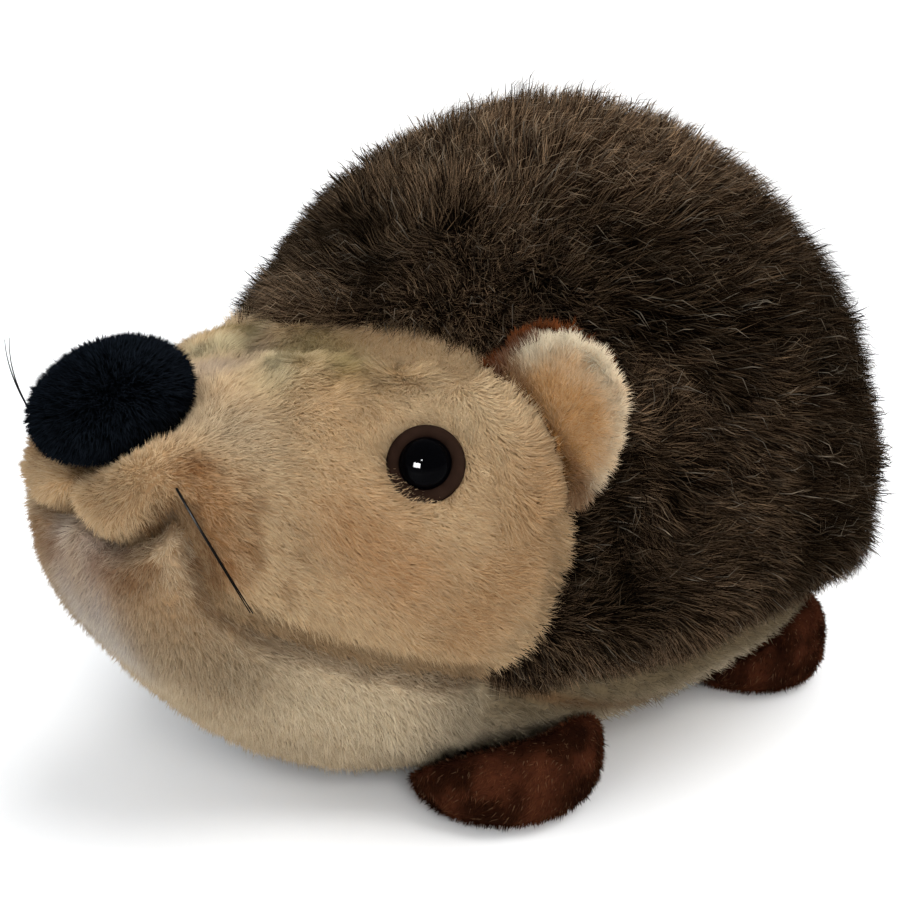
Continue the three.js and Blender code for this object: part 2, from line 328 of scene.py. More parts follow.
def edges_of(mesh: Mesh) -> np.ndarray:
    """Reads a mesh's edges as pairs of point numbers.

    Args:
        mesh: The mesh.

    Returns:
        One row of two numbers for each edge.
    """
    ends = np.empty(len(mesh.edges) * 2, np.int32)
    mesh.edges.foreach_get("vertices", ends)
    return ends.reshape(-1, 2)


def relaxed(values: np.ndarray, edges: np.ndarray, steps: int, free: np.ndarray) -> np.ndarray:
    """Evens out values over a mesh by averaging each free point with its neighbours.

    Args:
        values: One row for each point.
        edges: The mesh's edges.
        steps: How many times to average.
        free: True for each point that may change.

    Returns:
        The evened values.
    """
    rows = values.reshape(len(values), -1).astype(float)
    ends = np.concatenate([edges, edges[:, ::-1]])
    count = np.bincount(ends[:, 0], minlength=len(rows))[:, None]
    for _ in range(steps):
        near = np.stack(
            [np.bincount(ends[:, 0], column[ends[:, 1]], len(rows)) for column in rows.T],
            axis=1,
        )
        rows = np.where(free[:, None], near / np.maximum(count, 1), rows)
    return rows.reshape(values.shape)


def apply_modifier(piece: Object, kind: str, **settings: object) -> None:
    """Adds one modifier with these settings and applies it.

    Args:
        piece: The object.
        kind: The modifier's type.
        settings: Its settings by name.
    """
    select_only(piece)
    modifier = piece.modifiers.new(kind.title(), kind)
    for name, value in settings.items():
        setattr(modifier, name, value)
    bpy.ops.object.modifier_apply(modifier=modifier.name)


def added(name: str, data: bpy.types.ID) -> Object:
    """Adds an object with this data to the scene.

    Args:
        name: The object's name.
        data: Its mesh, curve, light or camera.

    Returns:
        The object.
    """
    piece = bpy.data.objects.new(name, data)
    bpy.context.scene.collection.objects.link(piece)
    return piece


def copy_of(node: str, name: str) -> Object:
    """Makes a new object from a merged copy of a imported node.

    Args:
        node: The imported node.
        name: The copy's name.

    Returns:
        The copy.
    """
    shape = bmesh.new()
    shape.from_mesh(bpy.data.objects[node].data)
    bmesh.ops.remove_doubles(shape, verts=shape.verts, dist=1e-6)
    mesh = bpy.data.meshes.new(name)
    shape.to_mesh(mesh)
    shape.free()
    return added(name, mesh)


def smooth_shaded(piece: Object) -> None:
    """Shades every face of a piece smoothly."""
    piece.data.polygons.foreach_set("use_smooth", np.ones(len(piece.data.polygons), bool))
    piece.data.update()


def write_dye(mesh: Mesh, colours: np.ndarray) -> None:
    """Stores linear colours at a mesh's points, for its material to read.

    Args:
        mesh: The mesh.
        colours: One linear colour for each point.
    """
    attribute = mesh.color_attributes.new(DYE, "FLOAT_COLOR", "POINT")
    rows = np.ones((len(colours), 4), np.float32)
    rows[:, :3] = np.clip(colours, 0.0, 1.0)
    attribute.data.foreach_set("color", rows.ravel())


class Solid:
    """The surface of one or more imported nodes, for measuring against."""

    def __init__(self, datum: Datum, *nodes: str) -> None:
        """Reads the nodes' faces.

        Args:
            datum: The toy's measuring point.
            nodes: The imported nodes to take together.
        """
        places: list[np.ndarray] = []
        faces: list[np.ndarray] = []
        for node in nodes:
            mesh = bpy.data.objects[node].data
            faces.append(triangles_of(mesh) + sum(len(part) for part in places))
            places.append(datum.to_places(points_of(mesh)))
        self.places = np.concatenate(places)
        self.tree = BVHTree.FromPolygons(self.places.tolist(), np.concatenate(faces).tolist())

    def distance(self, places: np.ndarray) -> np.ndarray:
        """Measures each place's distance to the surface, in millimetres."""
        return np.array([self.tree.find_nearest(place)[3] for place in places.tolist()])


# ---- Finishes --------------------------------------------------------------


@dataclass(frozen=True)
class Shader:
    """The plain numbers that a finish sets on its shader."""

    roughness: float
    specular: float = 0.0

    def new_material(self, name: str) -> tuple[Material, bpy.types.Node]:
        """Makes a material with these numbers on its shader's own sockets.

        Args:
            name: The material's name.

        Returns:
            The material, and its shader node.
        """
        material = bpy.data.materials.new(name)
        material.use_nodes = True
        shader = material.node_tree.nodes["Principled BSDF"]
        shader.inputs["Roughness"].default_value = self.roughness
        shader.inputs["Specular IOR Level"].default_value = self.specular
        return material, shader


class Nodes:
    """A short way to add and link the nodes of one material."""

    def __init__(self, material: Material) -> None:
        """Keeps the material's tree."""
        self.tree = material.node_tree
        self.place = self.tree.nodes.new("ShaderNodeTexCoord").outputs["Object"]

    def link(self, source: Socket, target: Socket) -> None:
        """Links two sockets."""
        self.tree.links.new(source, target)

    def attribute(self, name: str) -> Socket:
        """Reads a colour that the mesh stores at its points.

        Args:
            name: The attribute's name.

        Returns:
            The colour.
        """
        node = self.tree.nodes.new("ShaderNodeAttribute")
        node.attribute_name = name
        return node.outputs["Color"]

    def noise(self, scale: float, detail: float = 2.0) -> Socket:
        """Adds noise on object coordinates.

        Args:
            scale: Hills in each metre.
            detail: Octaves of finer noise.

        Returns:
            The noise's value.
        """
        node = self.tree.nodes.new("ShaderNodeTexNoise")
        node.inputs["Scale"].default_value = scale
        node.inputs["Detail"].default_value = detail
        self.link(self.place, node.inputs["Vector"])
        return node.outputs["Fac"]

    def ranged(self, value: Socket, low: float, high: float) -> Socket:
        """Turns noise about its middle into values from low to high.

        Args:
            value: The noise.
            low: The least value.
            high: The greatest value.

        Returns:
            The new value.
        """
        node = self.tree.nodes.new("ShaderNodeMapRange")
        node.inputs["From Min"].default_value, node.inputs["From Max"].default_value = NOISE_SPAN
        node.inputs["To Min"].default_value = low
        node.inputs["To Max"].default_value = high
        self.link(value, node.inputs["Value"])
        return node.outputs["Result"]

    def shaded(self, colour: Socket, value: Socket) -> Socket:
        """Multiplies a colour by a value.

        Args:
            colour: The colour.
            value: What it is multiplied by.

        Returns:
            The new colour.
        """
        node = self.tree.nodes.new("ShaderNodeVectorMath")
        node.operation = "SCALE"
        self.link(colour, node.inputs[0])
        self.link(value, node.inputs["Scale"])
        return node.outputs["Vector"]

    def blended(self, share: Socket, first: str, second: str) -> Socket:
        """Blends two hexadecimal colours by a share.

        Args:
            share: How much of the second colour there is.
            first: One colour.
            second: The other colour.

        Returns:
            The blend.
        """
        node = self.tree.nodes.new("ShaderNodeMix")
        node.data_type = "RGBA"
        self.link(share, node.inputs[0])
        for colour, target in ((first, node.inputs[6]), (second, node.inputs[7])):
            target.default_value = (*linear(colour), 1.0)
        return node.outputs[2]

    def bump(self, height: Socket, depth: float) -> Socket:
        """Turns a height into a normal, with its depth in metres.

        Args:
            height: The height, from 0 to 1.
            depth: How high 1 is, in metres.

        Returns:
            The normal.
        """
        node = self.tree.nodes.new("ShaderNodeBump")
        node.inputs["Distance"].default_value = depth
        self.link(height, node.inputs["Height"])
        return node.outputs["Normal"]


@dataclass(frozen=True)
class PileFinish:
    """Synthetic fibre, coloured by the dye that each lock carries."""

    name: str
    shader: Shader
    mottle: float = 0.12
    mottle_scale: float = 260.0

    def material(self) -> Material:
        """Builds the material.

        Returns:
            The material.
        """
        material, shader = self.shader.new_material(self.name)
        nodes = Nodes(material)
        mottle = nodes.ranged(nodes.noise(self.mottle_scale), 1 - self.mottle, 1 + self.mottle)
        nodes.link(nodes.shaded(nodes.attribute(DYE), mottle), shader.inputs["Base Color"])
        return material


@dataclass(frozen=True)
class ClothFinish:
    """The knitted backing that the pile stands on, in the dye of its pile."""

    name: str
    shader: Shader
    dullness: float = 0.75
    stitch_scale: float = 900.0

    def material(self) -> Material:
        """Builds the material.

        Returns:
            The material.
        """
        material, shader = self.shader.new_material(self.name)
        nodes = Nodes(material)
        knit = nodes.noise(self.stitch_scale, detail=3.0)
        dull = nodes.ranged(knit, self.dullness - 0.15, self.dullness + 0.15)
        nodes.link(nodes.shaded(nodes.attribute(DYE), dull), shader.inputs["Base Color"])
        nodes.link(nodes.bump(knit, 0.4 * MM), shader.inputs["Normal"])
        return material


@dataclass(frozen=True)
class PlasticFinish:
    """Moulded plastic with a faint flow pattern in its colour and surface."""

    name: str
    shader: Shader
    colour: str
    flow_colour: str
    flow_scale: float = 420.0
    relief: float = 0.01

    def material(self) -> Material:
        """Builds the material.

        Returns:
            The material.
        """
        material, shader = self.shader.new_material(self.name)
        nodes = Nodes(material)
        flow = nodes.noise(self.flow_scale, detail=3.0)
        share = nodes.ranged(flow, 0.0, 1.0)
        nodes.link(nodes.blended(share, self.colour, self.flow_colour), shader.inputs["Base Color"])
        nodes.link(nodes.bump(flow, self.relief * MM), shader.inputs["Normal"])
        return material


PILE_SHADER = Shader(roughness=0.9)
SHORT_PILE = PileFinish("short_pile", PILE_SHADER, 0.1, 420.0)
LONG_COAT = PileFinish("long_coat", PILE_SHADER, 0.35, 150.0)
NOSE_PILE = PileFinish("nose_pile", PILE_SHADER, 0.3, 500.0)
PAW_PILE = PileFinish("paw_pile", PILE_SHADER, 0.3, 240.0)
BACKING = ClothFinish("knitted_backing", Shader(roughness=0.95))
EYE_RING = PlasticFinish("eye_ring_plastic", Shader(roughness=0.5), "#1d130e", "#271b15")
EYE_BLACK = PlasticFinish(
    "eye_black_plastic", Shader(roughness=0.04, specular=0.018), "#010102", "#020203", relief=0.001
)
THREAD = PlasticFinish(
    "whisker_thread", Shader(roughness=0.4, specular=0.02), "#030303", "#0b0a09", flow_scale=900.0
)


# ---- Cloth skins -----------------------------------------------------------


@dataclass(frozen=True)
class Filling:
    """How hard a stuffed piece is filled, and how far its cloth may move."""

    pressure: float
    reach: float
    frames: int = 20
    stiffness: float = 6.0
    mass: float = 0.05


@dataclass(frozen=True)
class Crease:
    """A line along which the cloth is drawn in by its stitches."""

    line: tuple[Place, ...]
    depth: float
    width: float
    both_sides: bool = True

    def depths(self, places: np.ndarray) -> np.ndarray:
        """Measures how far each place is drawn in, in millimetres."""
        return self.depth * falloff(places, self.line, self.width, self.both_sides)


@dataclass(frozen=True)
class Airbrush:
    """A soft stroke of colour along a line. Most are the toy's airbrushing; those marked in comments are
    painted light and shade.
    """

    colour: str
    strength: float
    width: float
    line: tuple[Place, ...]

    def sprayed(self, places: np.ndarray, dye: np.ndarray) -> np.ndarray:
        """Adds the stroke, and its mirror image, to the dye at each place."""
        share = self.strength * falloff(places, self.line, self.width)
        return mix(dye, linear(self.colour), share)


def falloff(
    places: np.ndarray, line: Sequence[Place], width: float, both_sides: bool = True
) -> np.ndarray:
    """Falls from 1 on a line to nothing beside it.

    Args:
        places: The places to measure.
        line: The line's corners on the left of the toy.
        width: Distance at which a third is left, in millimetres.
        both_sides: Whether the right side has the same line.

    Returns:
        The share that is left at each place.
    """
    near = distance_to_line(places, line)
    if both_sides:
        near = np.minimum(near, distance_to_line(places * (-1, 1, 1), line))
    return np.exp(-((near / width) ** 2))


LOOSE = 0.02


def fill_with_stuffing(piece: Object, filling: Filling, pinned: np.ndarray | None = None) -> None:
    """Swells a closed cloth by its filling, and caps how far it moves.

    Args:
        piece: The closed cloth.
        filling: The pressure, the cap and the frames to run.
        pinned: A share for each point that the stitches hold still.
    """
    before = points_of(piece.data)
    select_only(piece)
    modifier = piece.modifiers.new("Stuffing", "CLOTH")
    cloth = modifier.settings
    cloth.use_pressure = True
    cloth.uniform_pressure_force = filling.pressure
    cloth.effector_weights.gravity = 0.0
    cloth.mass = filling.mass
    for way in ("tension", "compression", "shear"):
        setattr(cloth, f"{way}_stiffness", filling.stiffness)
    modifier.collision_settings.use_collision = False
    if pinned is not None:
        group = piece.vertex_groups.new(name="stitched")
        for index in np.flatnonzero(pinned > LOOSE):
            group.add([int(index)], float(pinned[index]), "REPLACE")
        cloth.vertex_group_mass = group.name
    modifier.point_cache.frame_start = 1
    modifier.point_cache.frame_end = filling.frames
    for frame in range(1, filling.frames + 1):
        bpy.context.scene.frame_set(frame)
    bpy.ops.object.modifier_apply(modifier=modifier.name)
    bpy.context.scene.frame_set(1)
    piece.vertex_groups.clear()
    moved = points_of(piece.data) - before
    far = np.linalg.norm(moved, axis=1)
    cap = filling.reach * MM
    LOG.info("%s swelled by %.2f mm on average", piece.name, far.mean() / MM)
    moved *= np.minimum(1.0, cap / np.maximum(far, 1e-12))[:, None]
    set_points(piece.data, before + relaxed(moved, edges_of(piece.data), 2, far >= 0.0))


@dataclass
class Skin:
    """A finished cloth skin, read for growing pile on it."""

    piece: Object
    datum: Datum
    places: np.ndarray = field(init=False)
    normals: np.ndarray = field(init=False)
    triangles: np.ndarray = field(init=False)
    tree: BVHTree = field(init=False)

    def __post_init__(self) -> None:
        """Reads the mesh."""
        self.places = self.datum.to_places(points_of(self.piece.data))
        self.normals = normals_of(self.piece.data)
        self.triangles = triangles_of(self.piece.data)
        self.tree = BVHTree.FromPolygons(self.places.tolist(), self.triangles.tolist())

    def depth(self, places: np.ndarray) -> np.ndarray:
        """Measures how deep each place lies inside, below zero where it is outside.

        Args:
            places: Places in millimetres.

        Returns:
            One depth for each place, in millimetres.
        """
        depths = np.empty(len(places))
        for index, place in enumerate(places.tolist()):
            nearest, normal, _, gap = self.tree.find_nearest(place)
            depths[index] = gap if (Vector(place) - nearest).dot(normal) < 0.0 else -gap
        return depths

    def scatter(
        self, count: int, density: np.ndarray, dice: np.random.Generator
    ) -> tuple[np.ndarray, np.ndarray]:
        """Draws random spots on the skin, more of them where it is planted more thickly.

        Args:
            count: How many spots to draw.
            density: How thickly each point of the skin is planted, from 0 to 1.
            dice: The random numbers.

        Returns:
            The three point numbers of each spot's triangle, and the spot's weights for them.
        """
        corners = self.places[self.triangles]
        area = np.linalg.norm(
            np.cross(corners[:, 1] - corners[:, 0], corners[:, 2] - corners[:, 0]), axis=1
        )
        chance = area * density[self.triangles].mean(1)
        rows = dice.choice(len(area), count, p=chance / chance.sum())
        first, second = dice.random((2, count))
        over = first + second > 1.0
        first[over], second[over] = 1.0 - first[over], 1.0 - second[over]
        return self.triangles[rows], np.stack([1.0 - first - second, first, second], axis=1)


def at_spots(rows: np.ndarray, corners: np.ndarray, weights: np.ndarray) -> np.ndarray:
    """Blends a skin's rows at spots, by each spot's weights for its triangle's corners."""
    return np.einsum("nk,nkd->nd", weights, rows[corners])


# ---- Pile ------------------------------------------------------------------


@dataclass(frozen=True)
class Lock:
    """The shape of one lock of pile, and how locks differ from each other."""

    length: float
    width: float
    lift: float
    arch: float = 0.08
    bends: int = 2
    uneven: float = 0.25
    stray: float = 0.2
    gather: float = 0.0
    gather_size: float = 5.0


@dataclass(frozen=True)
class Shading:
    """How a lock's colour runs from its root to its tip, and how locks differ."""

    # The darkening from tip to root is partly the fibre's own darker base and partly painted shade deep in
    # the pile.
    root: float
    tip: str
    tip_share: float
    spread: float = 0.15
    rarity: float = 1.0
    fleck: str = "#ffffff"
    fleck_share: float = 0.0
    fleck_strength: float = 0.6


@dataclass
class Roots:
    """Where locks grow, with one row for each lock.

    Lie is the direction along the cloth, stature scales the lock's length and
    lift adds to how steeply it stands.
    """

    places: np.ndarray
    normals: np.ndarray
    lie: np.ndarray
    dye: np.ndarray
    stature: np.ndarray
    lift: np.ndarray

    def only(self, chosen: np.ndarray) -> Roots:
        """Keeps the chosen locks.

        Args:
            chosen: True for each lock to keep.

        Returns:
            The kept locks.
        """
        return Roots(
            self.places[chosen],
            self.normals[chosen],
            self.lie[chosen],
            self.dye[chosen],
            self.stature[chosen],
            self.lift[chosen],
        )


MAP_EDGE = 0.006


def wrapped(places: np.ndarray) -> np.ndarray:
    """Unwraps places from round their own middle onto a square.

    The middle and the long axis are those of the places themselves, so the map
    belongs to the shape: one side runs round the axis, the other along it.

    Args:
        places: Places on a rounded skin.

    Returns:
        Two coordinates for each place, from 0 to 1.
    """
    middle = places.mean(0)
    _, axes = np.linalg.eigh(np.cov((places - middle).T))
    spread = (places - middle) @ axes[:, ::-1]
    round_axis = np.arctan2(spread[:, 1], spread[:, 2])
    along = spread[:, 0] / np.maximum(np.linalg.norm(spread, axis=1), 1e-9)
    flat = np.stack([round_axis, along], axis=1)
    low, high = flat.min(0), flat.max(0)
    return MAP_EDGE + (1.0 - 2.0 * MAP_EDGE) * (flat - low) / (high - low)


def gathered(
    places: np.ndarray, tips: np.ndarray, lock: Lock, dice: np.random.Generator
) -> np.ndarray:
    """Draws the tips of neighbouring locks together.

    Args:
        places: The locks' roots.
        tips: The locks' tips.
        lock: Says how far tips are drawn, and how wide a bunch is.
        dice: The random numbers.

    Returns:
        The tips in their bunches.
    """
    chosen = dice.random(len(places)) < bunch_share(places, lock.gather_size)
    seeds = places[chosen]
    tree = KDTree(len(seeds))
    for index, seed in enumerate(seeds.tolist()):
        tree.insert(seed, index)
    tree.balance()
    owner = np.array([tree.find(place)[1] for place in places.tolist()])
    count = np.maximum(np.bincount(owner, minlength=len(seeds)), 1)
    middle = np.stack(
        [np.bincount(owner, column, len(seeds)) / count for column in tips.T], axis=1
    )
    pull = lock.gather * dice.uniform(0.4, 1.0, len(seeds))
    return mix(tips, middle[owner], pull[owner])


def bunch_share(places: np.ndarray, size: float) -> float:
    """Works out which share of the locks leads a bunch of this size."""
    cells = np.unique(np.floor(places / size).astype(int), axis=0)
    return min(1.0, len(cells) / len(places))


# Corners of a lock's section: across, and up from the cloth, as shares of its width.
SECTION = np.array([[-0.5, -0.16], [0.5, -0.16], [0.0, 0.32]])
PATCH = 0.0015
SINK = 0.3
RISE_SHARE = 0.35
LEAST_LIFT, MOST_LIFT = 0.03, 0.98
TIP_TAPER = 0.55
FLOOR_CLEARANCE = 0.25


@dataclass
class Pile:
    """One piece of pile: many locks joined in one mesh."""

    name: str
    slot: str
    lock: Lock
    shading: Shading
    finish: PileFinish
    seed: int

    def spine(self, roots: Roots, dice: np.random.Generator) -> np.ndarray:
        """Works out the middle line of each lock.

        Args:
            roots: Where the locks grow.
            dice: The random numbers.

        Returns:
            The points of each line from root to tip, in millimetres.
        """
        lock, count = self.lock, len(roots.places)
        length = lock.length * roots.stature
        length = length * dice.uniform(1 - lock.uneven, 1 + lock.uneven, count)
        across = unit(np.cross(roots.normals, roots.lie))
        wander, rise = dice.normal(0.0, lock.stray, (2, count))
        lean = unit(roots.lie + across * wander[:, None])
        lift = np.clip(lock.lift + roots.lift + RISE_SHARE * rise, LEAST_LIFT, MOST_LIFT)
        level = np.sqrt(1.0 - lift**2)
        way = lean * level[:, None] + roots.normals * lift[:, None]
        tips = roots.places + length[:, None] * way
        if lock.gather:
            tips = gathered(roots.places, tips, lock, dice)
        start = roots.places - SINK * roots.normals
        stops = [start]
        for bend in range(1, lock.bends):
            share = bend / lock.bends
            bow = lock.arch * 4.0 * share * (1.0 - share) * length
            stops.append(start + share * (tips - start) + bow[:, None] * roots.normals)
        stops.append(tips)
        line = np.stack(stops, axis=1)
        line[..., 2] = np.maximum(line[..., 2], FLOOR_CLEARANCE)
        return line

    def colours(self, roots: Roots, shares: np.ndarray, dice: np.random.Generator) -> np.ndarray:
        """Works out the colour at each share of each lock's length.

        Args:
            roots: Where the locks grow.
            shares: Shares of a lock's length, from 0 at its root.
            dice: The random numbers.

        Returns:
            A linear colour for each lock and share.
        """
        shading, count = self.shading, len(roots.places)
        dye = roots.dye * dice.uniform(1 - shading.spread, 1 + shading.spread, (count, 1))
        flecked = dice.random(count) < shading.fleck_share
        dye = mix(dye, linear(shading.fleck), flecked * shading.fleck_strength)
        # Darker towards the root: partly the fibre's own base, partly painted shade deep in the pile.
        rows = dye[:, None] * (shading.root + (1 - shading.root) * shares)[None, :, None]
        # Tips follow the dye's lightness, so the coat's painted light and shade reach the tips as well.
        light = np.clip(roots.dye.mean(1) / roots.dye.mean(), 0.3, 2.2)[:, None]
        bright = shading.tip_share * light * dice.random((count, 1)) ** shading.rarity
        tipped = bright * shares[None, :] ** 2
        return mix(rows, linear(shading.tip), np.minimum(tipped, 1.0))

    def grow(self, roots: Roots, datum: Datum) -> Object:
        """Builds the locks as one mesh that rides on the body.

        Args:
            roots: Where the locks grow.
            datum: The toy's measuring point.

        Returns:
            The finished piece.
        """
        dice = np.random.default_rng(self.seed)
        line = self.spine(roots, dice)
        count, bends = len(line), self.lock.bends
        along = unit(line[:, -1] - line[:, 0])
        across = unit(np.cross(roots.normals, along))
        up = unit(np.cross(along, across))
        width = self.lock.width * dice.uniform(0.8, 1.2, count) * np.sqrt(roots.stature)
        section = SECTION[None, :, :1] * across[:, None] + SECTION[None, :, 1:] * up[:, None]
        rings = []
        for ring in range(bends):
            size = width * (1.0 - TIP_TAPER * (ring / bends) ** 1.5)
            rings.append(line[:, ring, None] + size[:, None, None] * section)
        places = np.concatenate([*rings, line[:, -1:]], axis=1)
        places[..., 2] = np.maximum(places[..., 2], FLOOR_CLEARANCE)
        step = 3 * bends + 1
        faces = (self.faces()[None] + step * np.arange(count)[:, None, None]).reshape(-1, 3)
        mesh = mesh_of_triangles(self.name, datum.to_metres(places.reshape(-1, 3)), faces)
        shares = np.append(np.repeat(np.arange(bends) / bends, 3), 1.0)
        write_dye(mesh, self.colours(roots, shares, dice).reshape(-1, 3))
        self.map_for_baking(mesh, wrapped(roots.places), faces, step)
        mesh.materials.append(self.finish.material())
        piece = added(self.name, mesh)
        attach(piece, BODY)
        return piece

    def faces(self) -> np.ndarray:
        """Lists the triangles of one lock as point numbers, facing outwards.

        Returns:
            Three point numbers for each triangle.
        """
        faces = []
        for ring in range(self.lock.bends - 1):
            for corner in range(3):
                low, next_low = 3 * ring + corner, 3 * ring + (corner + 1) % 3
                faces += [(low, next_low, next_low + 3), (low, next_low + 3, low + 3)]
        last = 3 * (self.lock.bends - 1)
        faces += [(last + corner, last + (corner + 1) % 3, last + 3) for corner in range(3)]
        return np.array(faces)

    def map_for_baking(self, mesh: Mesh, homes: np.ndarray, faces: np.ndarray, step: int) -> None:
        """Gives each lock a small patch of the bake map at its root's place.

        Args:
            mesh: The joined locks.
            homes: Each root's place on the unwrapped skin.
            faces: The mesh's triangles.
            step: How many points a lock has.
        """
        bends = self.lock.bends
        turn = np.tile(np.arange(3) * 2 * math.pi / 3, bends)
        size = PATCH * (1.0 - np.repeat(np.arange(bends) / bends, 3))
        patch = np.zeros((step, 2))
        patch[:-1] = np.stack([size * np.cos(turn), size * np.sin(turn)], axis=1)
        spots = (homes[:, None] + patch[None]).reshape(-1, 2)
        layer = mesh.uv_layers.new(name=BAKE_MAP)
        layer.uv.foreach_set("vector", spots[faces.ravel()].astype(np.float32).ravel())


def mesh_of_triangles(name: str, points: np.ndarray, faces: np.ndarray) -> Mesh:
    """Makes a smooth mesh from points in metres and triangles.

    Args:
        name: The mesh's name.
        points: One row for each point, in metres.
        faces: Three point numbers for each triangle.

    Returns:
        The mesh.
    """
    mesh = bpy.data.meshes.new(name)
    mesh.vertices.add(len(points))
    mesh.vertices.foreach_set("co", points.astype(np.float32).ravel())
    mesh.loops.add(faces.size)
    mesh.loops.foreach_set("vertex_index", faces.astype(np.int32).ravel())
    mesh.polygons.add(len(faces))
    mesh.polygons.foreach_set("loop_start", np.arange(0, faces.size, 3, dtype=np.int32))
    mesh.polygons.foreach_set("use_smooth", np.ones(len(faces), bool))
    mesh.update(calc_edges=True)
    return mesh


def along_cloth(directions: np.ndarray, normals: np.ndarray) -> np.ndarray:
    """Lays directions flat along the cloth."""
    flat = directions - (directions * normals).sum(1, keepdims=True) * normals
    return unit(flat)


# ---- Seats of the eyes and ears --------------------------------------------


@dataclass(frozen=True)
class EyeSeat:
    """Where an eye sits: the middle of its ring, the way it looks, and its radius."""

    middle: np.ndarray
    facing: np.ndarray
    radius: float = 7.5

    @classmethod
    def on(cls, side: Side) -> EyeSeat:
        """Gives the seat on one side of the toy.

        Args:
            side: The side.

        Returns:
            The seat.
        """
        facing = unit(np.array([0.62, -0.66, 0.43]) * side.mirror)
        return cls(np.array([42.8, 51.7, 75.3]) * side.mirror, facing)

    def offsets(self, places: np.ndarray) -> tuple[np.ndarray, np.ndarray]:
        """Measures places along the way the eye looks, and across it.

        Args:
            places: Places in millimetres.

        Returns:
            The distances along and across, in millimetres.
        """
        offset = places - self.middle
        along = offset @ self.facing
        return along, np.linalg.norm(offset - along[:, None] * self.facing, axis=1)

    def distance(self, places: np.ndarray) -> np.ndarray:
        """Measures how far places lie outside the ring, across the way it looks."""
        along, across = self.offsets(places)
        return np.where(np.abs(along) < 12.0, across - self.radius, 99.0)

    def sunk(self, places: np.ndarray, depth: float = 2.0, soft: float = 4.0) -> np.ndarray:
        """Presses the cloth down under the ring.

        Args:
            places: The cloth's places.
            depth: How far under the ring's middle plane it ends, in millimetres.
            soft: How wide the dent's slope is, in millimetres.

        Returns:
            The pressed places.
        """
        along, across = self.offsets(places)
        share = smoothstep(self.radius + soft, self.radius - 0.5, across) * (along > -12.0)
        press = share * np.maximum(along + depth, 0.0)
        return places - press[:, None] * self.facing


@dataclass(frozen=True)
class EarSeat:
    """Where an ear is sewn in: the middle of its seam and the ear's three directions."""

    middle: np.ndarray
    down: np.ndarray
    out: np.ndarray
    forward: np.ndarray
    slide: float = 0.0
    half_width: float = 14.5
    reach: float = 20.5

    @classmethod
    def on(cls, side: Side) -> EarSeat:
        """Gives the seat on one side; the right ear leans further back and sits lower.

        Args:
            side: The side.

        Returns:
            The seat.
        """
        lean, slide = (0.0, 0.0) if side is Side.LEFT else (0.45, 5.0)
        down = unit(np.array([0.63, 0.11, -0.77]) * side.mirror)
        upright = Vector(unit(np.array([0.643, 0.482, 0.595]) * side.mirror))
        out = np.array(Matrix.Rotation(-side.value * lean, 3, Vector(down)) @ upright)
        middle = np.array([50.5, 72.7, 78.1]) * side.mirror + slide * down
        return cls(middle, down, out, np.cross(down, out) * side.value, slide)

    def shares(self, places: np.ndarray) -> tuple[np.ndarray, np.ndarray]:
        """Measures places along the seam and out from it, as shares of the ear."""
        offset = places - self.middle
        return offset @ self.down / self.half_width, offset @ self.out / self.reach

    def has_behind(self, places: np.ndarray) -> np.ndarray:
        """Marks places just in front of the ear, where the face reaches its seam.

        Args:
            places: Places in millimetres.

        Returns:
            True for each place in front of the ear.
        """
        along, out = self.shares(places)
        front = (places - self.middle) @ self.forward
        reach = 0.5 - 0.3 * np.clip(along, 0.0, 1.0)
        return (front > -2.0) & (along > -1.1) & (along < 0.9) & (out > -0.6) & (out < reach)

    def fringe_share(self, places: np.ndarray) -> np.ndarray:
        """Rises to 1 along the ear's seam, where the face's pile leans over it."""
        front = (places - self.middle) @ self.forward
        return self.has_behind(places) * smoothstep(6.0, 2.0, front)


# ---- The stuffed body ------------------------------------------------------


class Panel(Enum):
    """The sewn panels of the body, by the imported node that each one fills."""

    FACE = "head"
    CHIN = "chin"
    BELLY = "belly"
    COAT = "trunk"


PANELS = list(Panel)
FACE, CHIN, BELLY, COAT = range(len(PANELS))
FABRIC = {
    Panel.FACE: "#c9a77d",
    Panel.CHIN: "#bfa685",
    # Painted shade: the belly's cream is darker and greyer than the chin's, for the shaded low underside.
    Panel.BELLY: "#a3937a",
    Panel.COAT: "#140c07",
}

MUZZLE_FOLD = (
    (0.0, 38.0, 93.5),
    (8.0, 36.5, 92.6),
    (16.0, 34.0, 89.6),
    (22.0, 32.5, 86.0),
    (27.5, 31.0, 80.5),
    (30.5, 29.0, 73.0),
    (33.0, 29.0, 65.0),
    (34.5, 31.0, 57.0),
)
MOUTH_LINE = (
    (0.0, 0.2, 66.7),
    (7.0, 0.5, 63.4),
    (12.5, 1.2, 62.3),
    (17.8, 1.7, 64.3),
    (22.3, 2.8, 66.8),
    (26.5, 6.5, 70.0),
)
PHILTRUM = ((0.0, 1.0, 74.0), (0.0, 0.2, 67.0))
JAW_SEAM = (
    (27.9, 8.2, 71.2),
    (30.0, 10.0, 63.0),
    (30.6, 12.5, 55.5),
    (31.6, 21.1, 47.0),
    (33.2, 28.8, 42.1),
    (44.1, 44.0, 35.8),
    (54.5, 57.0, 33.2),
)

BODY_CREASES = (
    Crease(MUZZLE_FOLD, depth=2.6, width=5.0),
    Crease(MOUTH_LINE, depth=4.6, width=2.2),
    Crease(PHILTRUM, depth=2.4, width=2.2),
    Crease(JAW_SEAM, depth=2.2, width=2.4),
    Crease(((6.0, 1.0, 70.0), (12.5, 1.5, 67.5), (18.5, 2.5, 70.0)), depth=-2.0, width=4.0),
    Crease(((22.0, 10.0, 78.0), (29.0, 15.0, 70.0), (31.5, 17.0, 60.0)), depth=-1.2, width=8.0),
    Crease(((41.0, 42.0, 70.0), (43.0, 43.0, 58.0)), depth=-1.4, width=12.0),
    Crease(((0.0, 3.0, 50.0), (18.0, 6.0, 50.0)), depth=-1.0, width=11.0),
)

